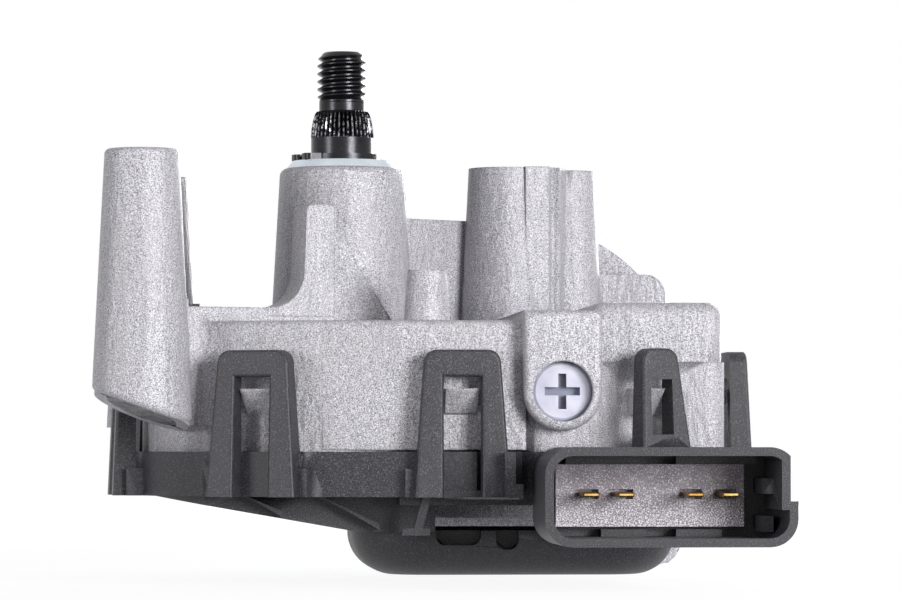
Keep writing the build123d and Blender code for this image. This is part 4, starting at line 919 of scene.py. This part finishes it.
def camera_at_the_bench():
    """A long lens, close to level with the cover's joint, a little to the left of square."""
    camera = bpy.data.cameras.new("bench_camera")
    camera.lens = 175
    camera.sensor_width = 36
    camera.clip_end = 20
    holder = bpy.data.objects.new("bench_camera", camera)
    bpy.context.scene.collection.objects.link(holder)
    holder.location = CAMERA_PLACE
    level = math.cos(CAMERA_TILT)
    sight = Vector(
        (math.sin(CAMERA_TURN) * level, math.cos(CAMERA_TURN) * level, math.sin(CAMERA_TILT))
    )
    holder.rotation_euler = sight.to_track_quat("-Z", "Y").to_euler()
    bpy.context.scene.camera = holder


def on_rays(owner, *kinds):
    """1 on light rays of these kinds, and 0 on any other."""
    found = 0.0
    for kind in kinds:
        ray = add_node(owner, "LightPath", {}, f"Is {kind} Ray")
        found = add_node(owner, "Math", {"operation": "MAXIMUM", 0: found, 1: ray})
    return found


def white_paper():
    """Matt white paper. To the camera and in reflections most of it glows, so that it looks
    evenly white, and the matt share keeps a faint shadow of the motor."""
    material = bpy.data.materials.new("white_paper_floor")
    material.use_nodes = True
    seen = on_rays(material, "Camera", "Glossy")
    share = {"operation": "MULTIPLY", 0: seen, 1: 1 - FLOOR_MATT_SHARE}
    matt = add_node(material, "BsdfDiffuse", {"Color": "F4F4F4"})
    glow = add_node(material, "Emission", {"Strength": FLOOR_GLOW})
    both = add_node(
        material, "MixShader", {0: add_node(material, "Math", share), 1: matt, 2: glow}
    )
    set_up(material, material.node_tree.nodes["Material Output"], {"Surface": both})
    return material


def floor_under_the_motor():
    """A plain pale floor just under the lowest point of the object."""
    mesh = bpy.data.meshes.new("floor")
    shape = bmesh.new()
    bmesh.ops.create_grid(shape, x_segments=1, y_segments=1, size=FLOOR_HALF)
    bmesh.ops.translate(shape, verts=shape.verts, vec=(0, 0, cad_box[0][2] - FLOOR_GAP))
    shape.to_mesh(mesh)
    shape.free()
    floor = bpy.data.objects.new("floor", mesh)
    bpy.context.scene.collection.objects.link(floor)
    mesh.materials.append(white_paper())


def soft_box(name, width, height, place, watts):
    """A rectangular studio light that points at the motor."""
    lamp = bpy.data.lights.new(name, "AREA")
    lamp.shape = "RECTANGLE"
    lamp.size = width
    lamp.size_y = height
    lamp.energy = watts
    holder = bpy.data.objects.new(name, lamp)
    bpy.context.scene.collection.objects.link(holder)
    holder.location = place
    holder.rotation_euler = (Vector(LAMP_AIM) - Vector(place)).to_track_quat("-Z", "Y").to_euler()


def studio():
    """White surroundings that light the object only weakly, with the main light on the right,
    a weaker one on the left and a broad one behind."""
    world = bpy.data.worlds.new("white_studio")
    bpy.context.scene.world = world
    world.use_nodes = True
    seen = on_rays(world, "Glossy", "Transmission", "Camera")
    strength = add_node(world, "MapRange", {"Value": seen, "To Min": AMBIENT, "To Max": 1.0})
    background = world.node_tree.nodes["Background"]
    set_up(world, background, {"Color": "FFFFFF", "Strength": strength})
    soft_box("key_light", 0.38, 0.38, (0.56, -0.89, 0.08), 12.5)
    soft_box("left_light", 0.3, 0.4, (-0.85, -0.62, 0.04), 4.5)
    soft_box("back_light", 0.8, 0.5, (0.4, 0.95, 0.1), 12)


camera_at_the_bench()
floor_under_the_motor()
studio()
bpy.context.scene.view_settings.view_transform = "Standard"
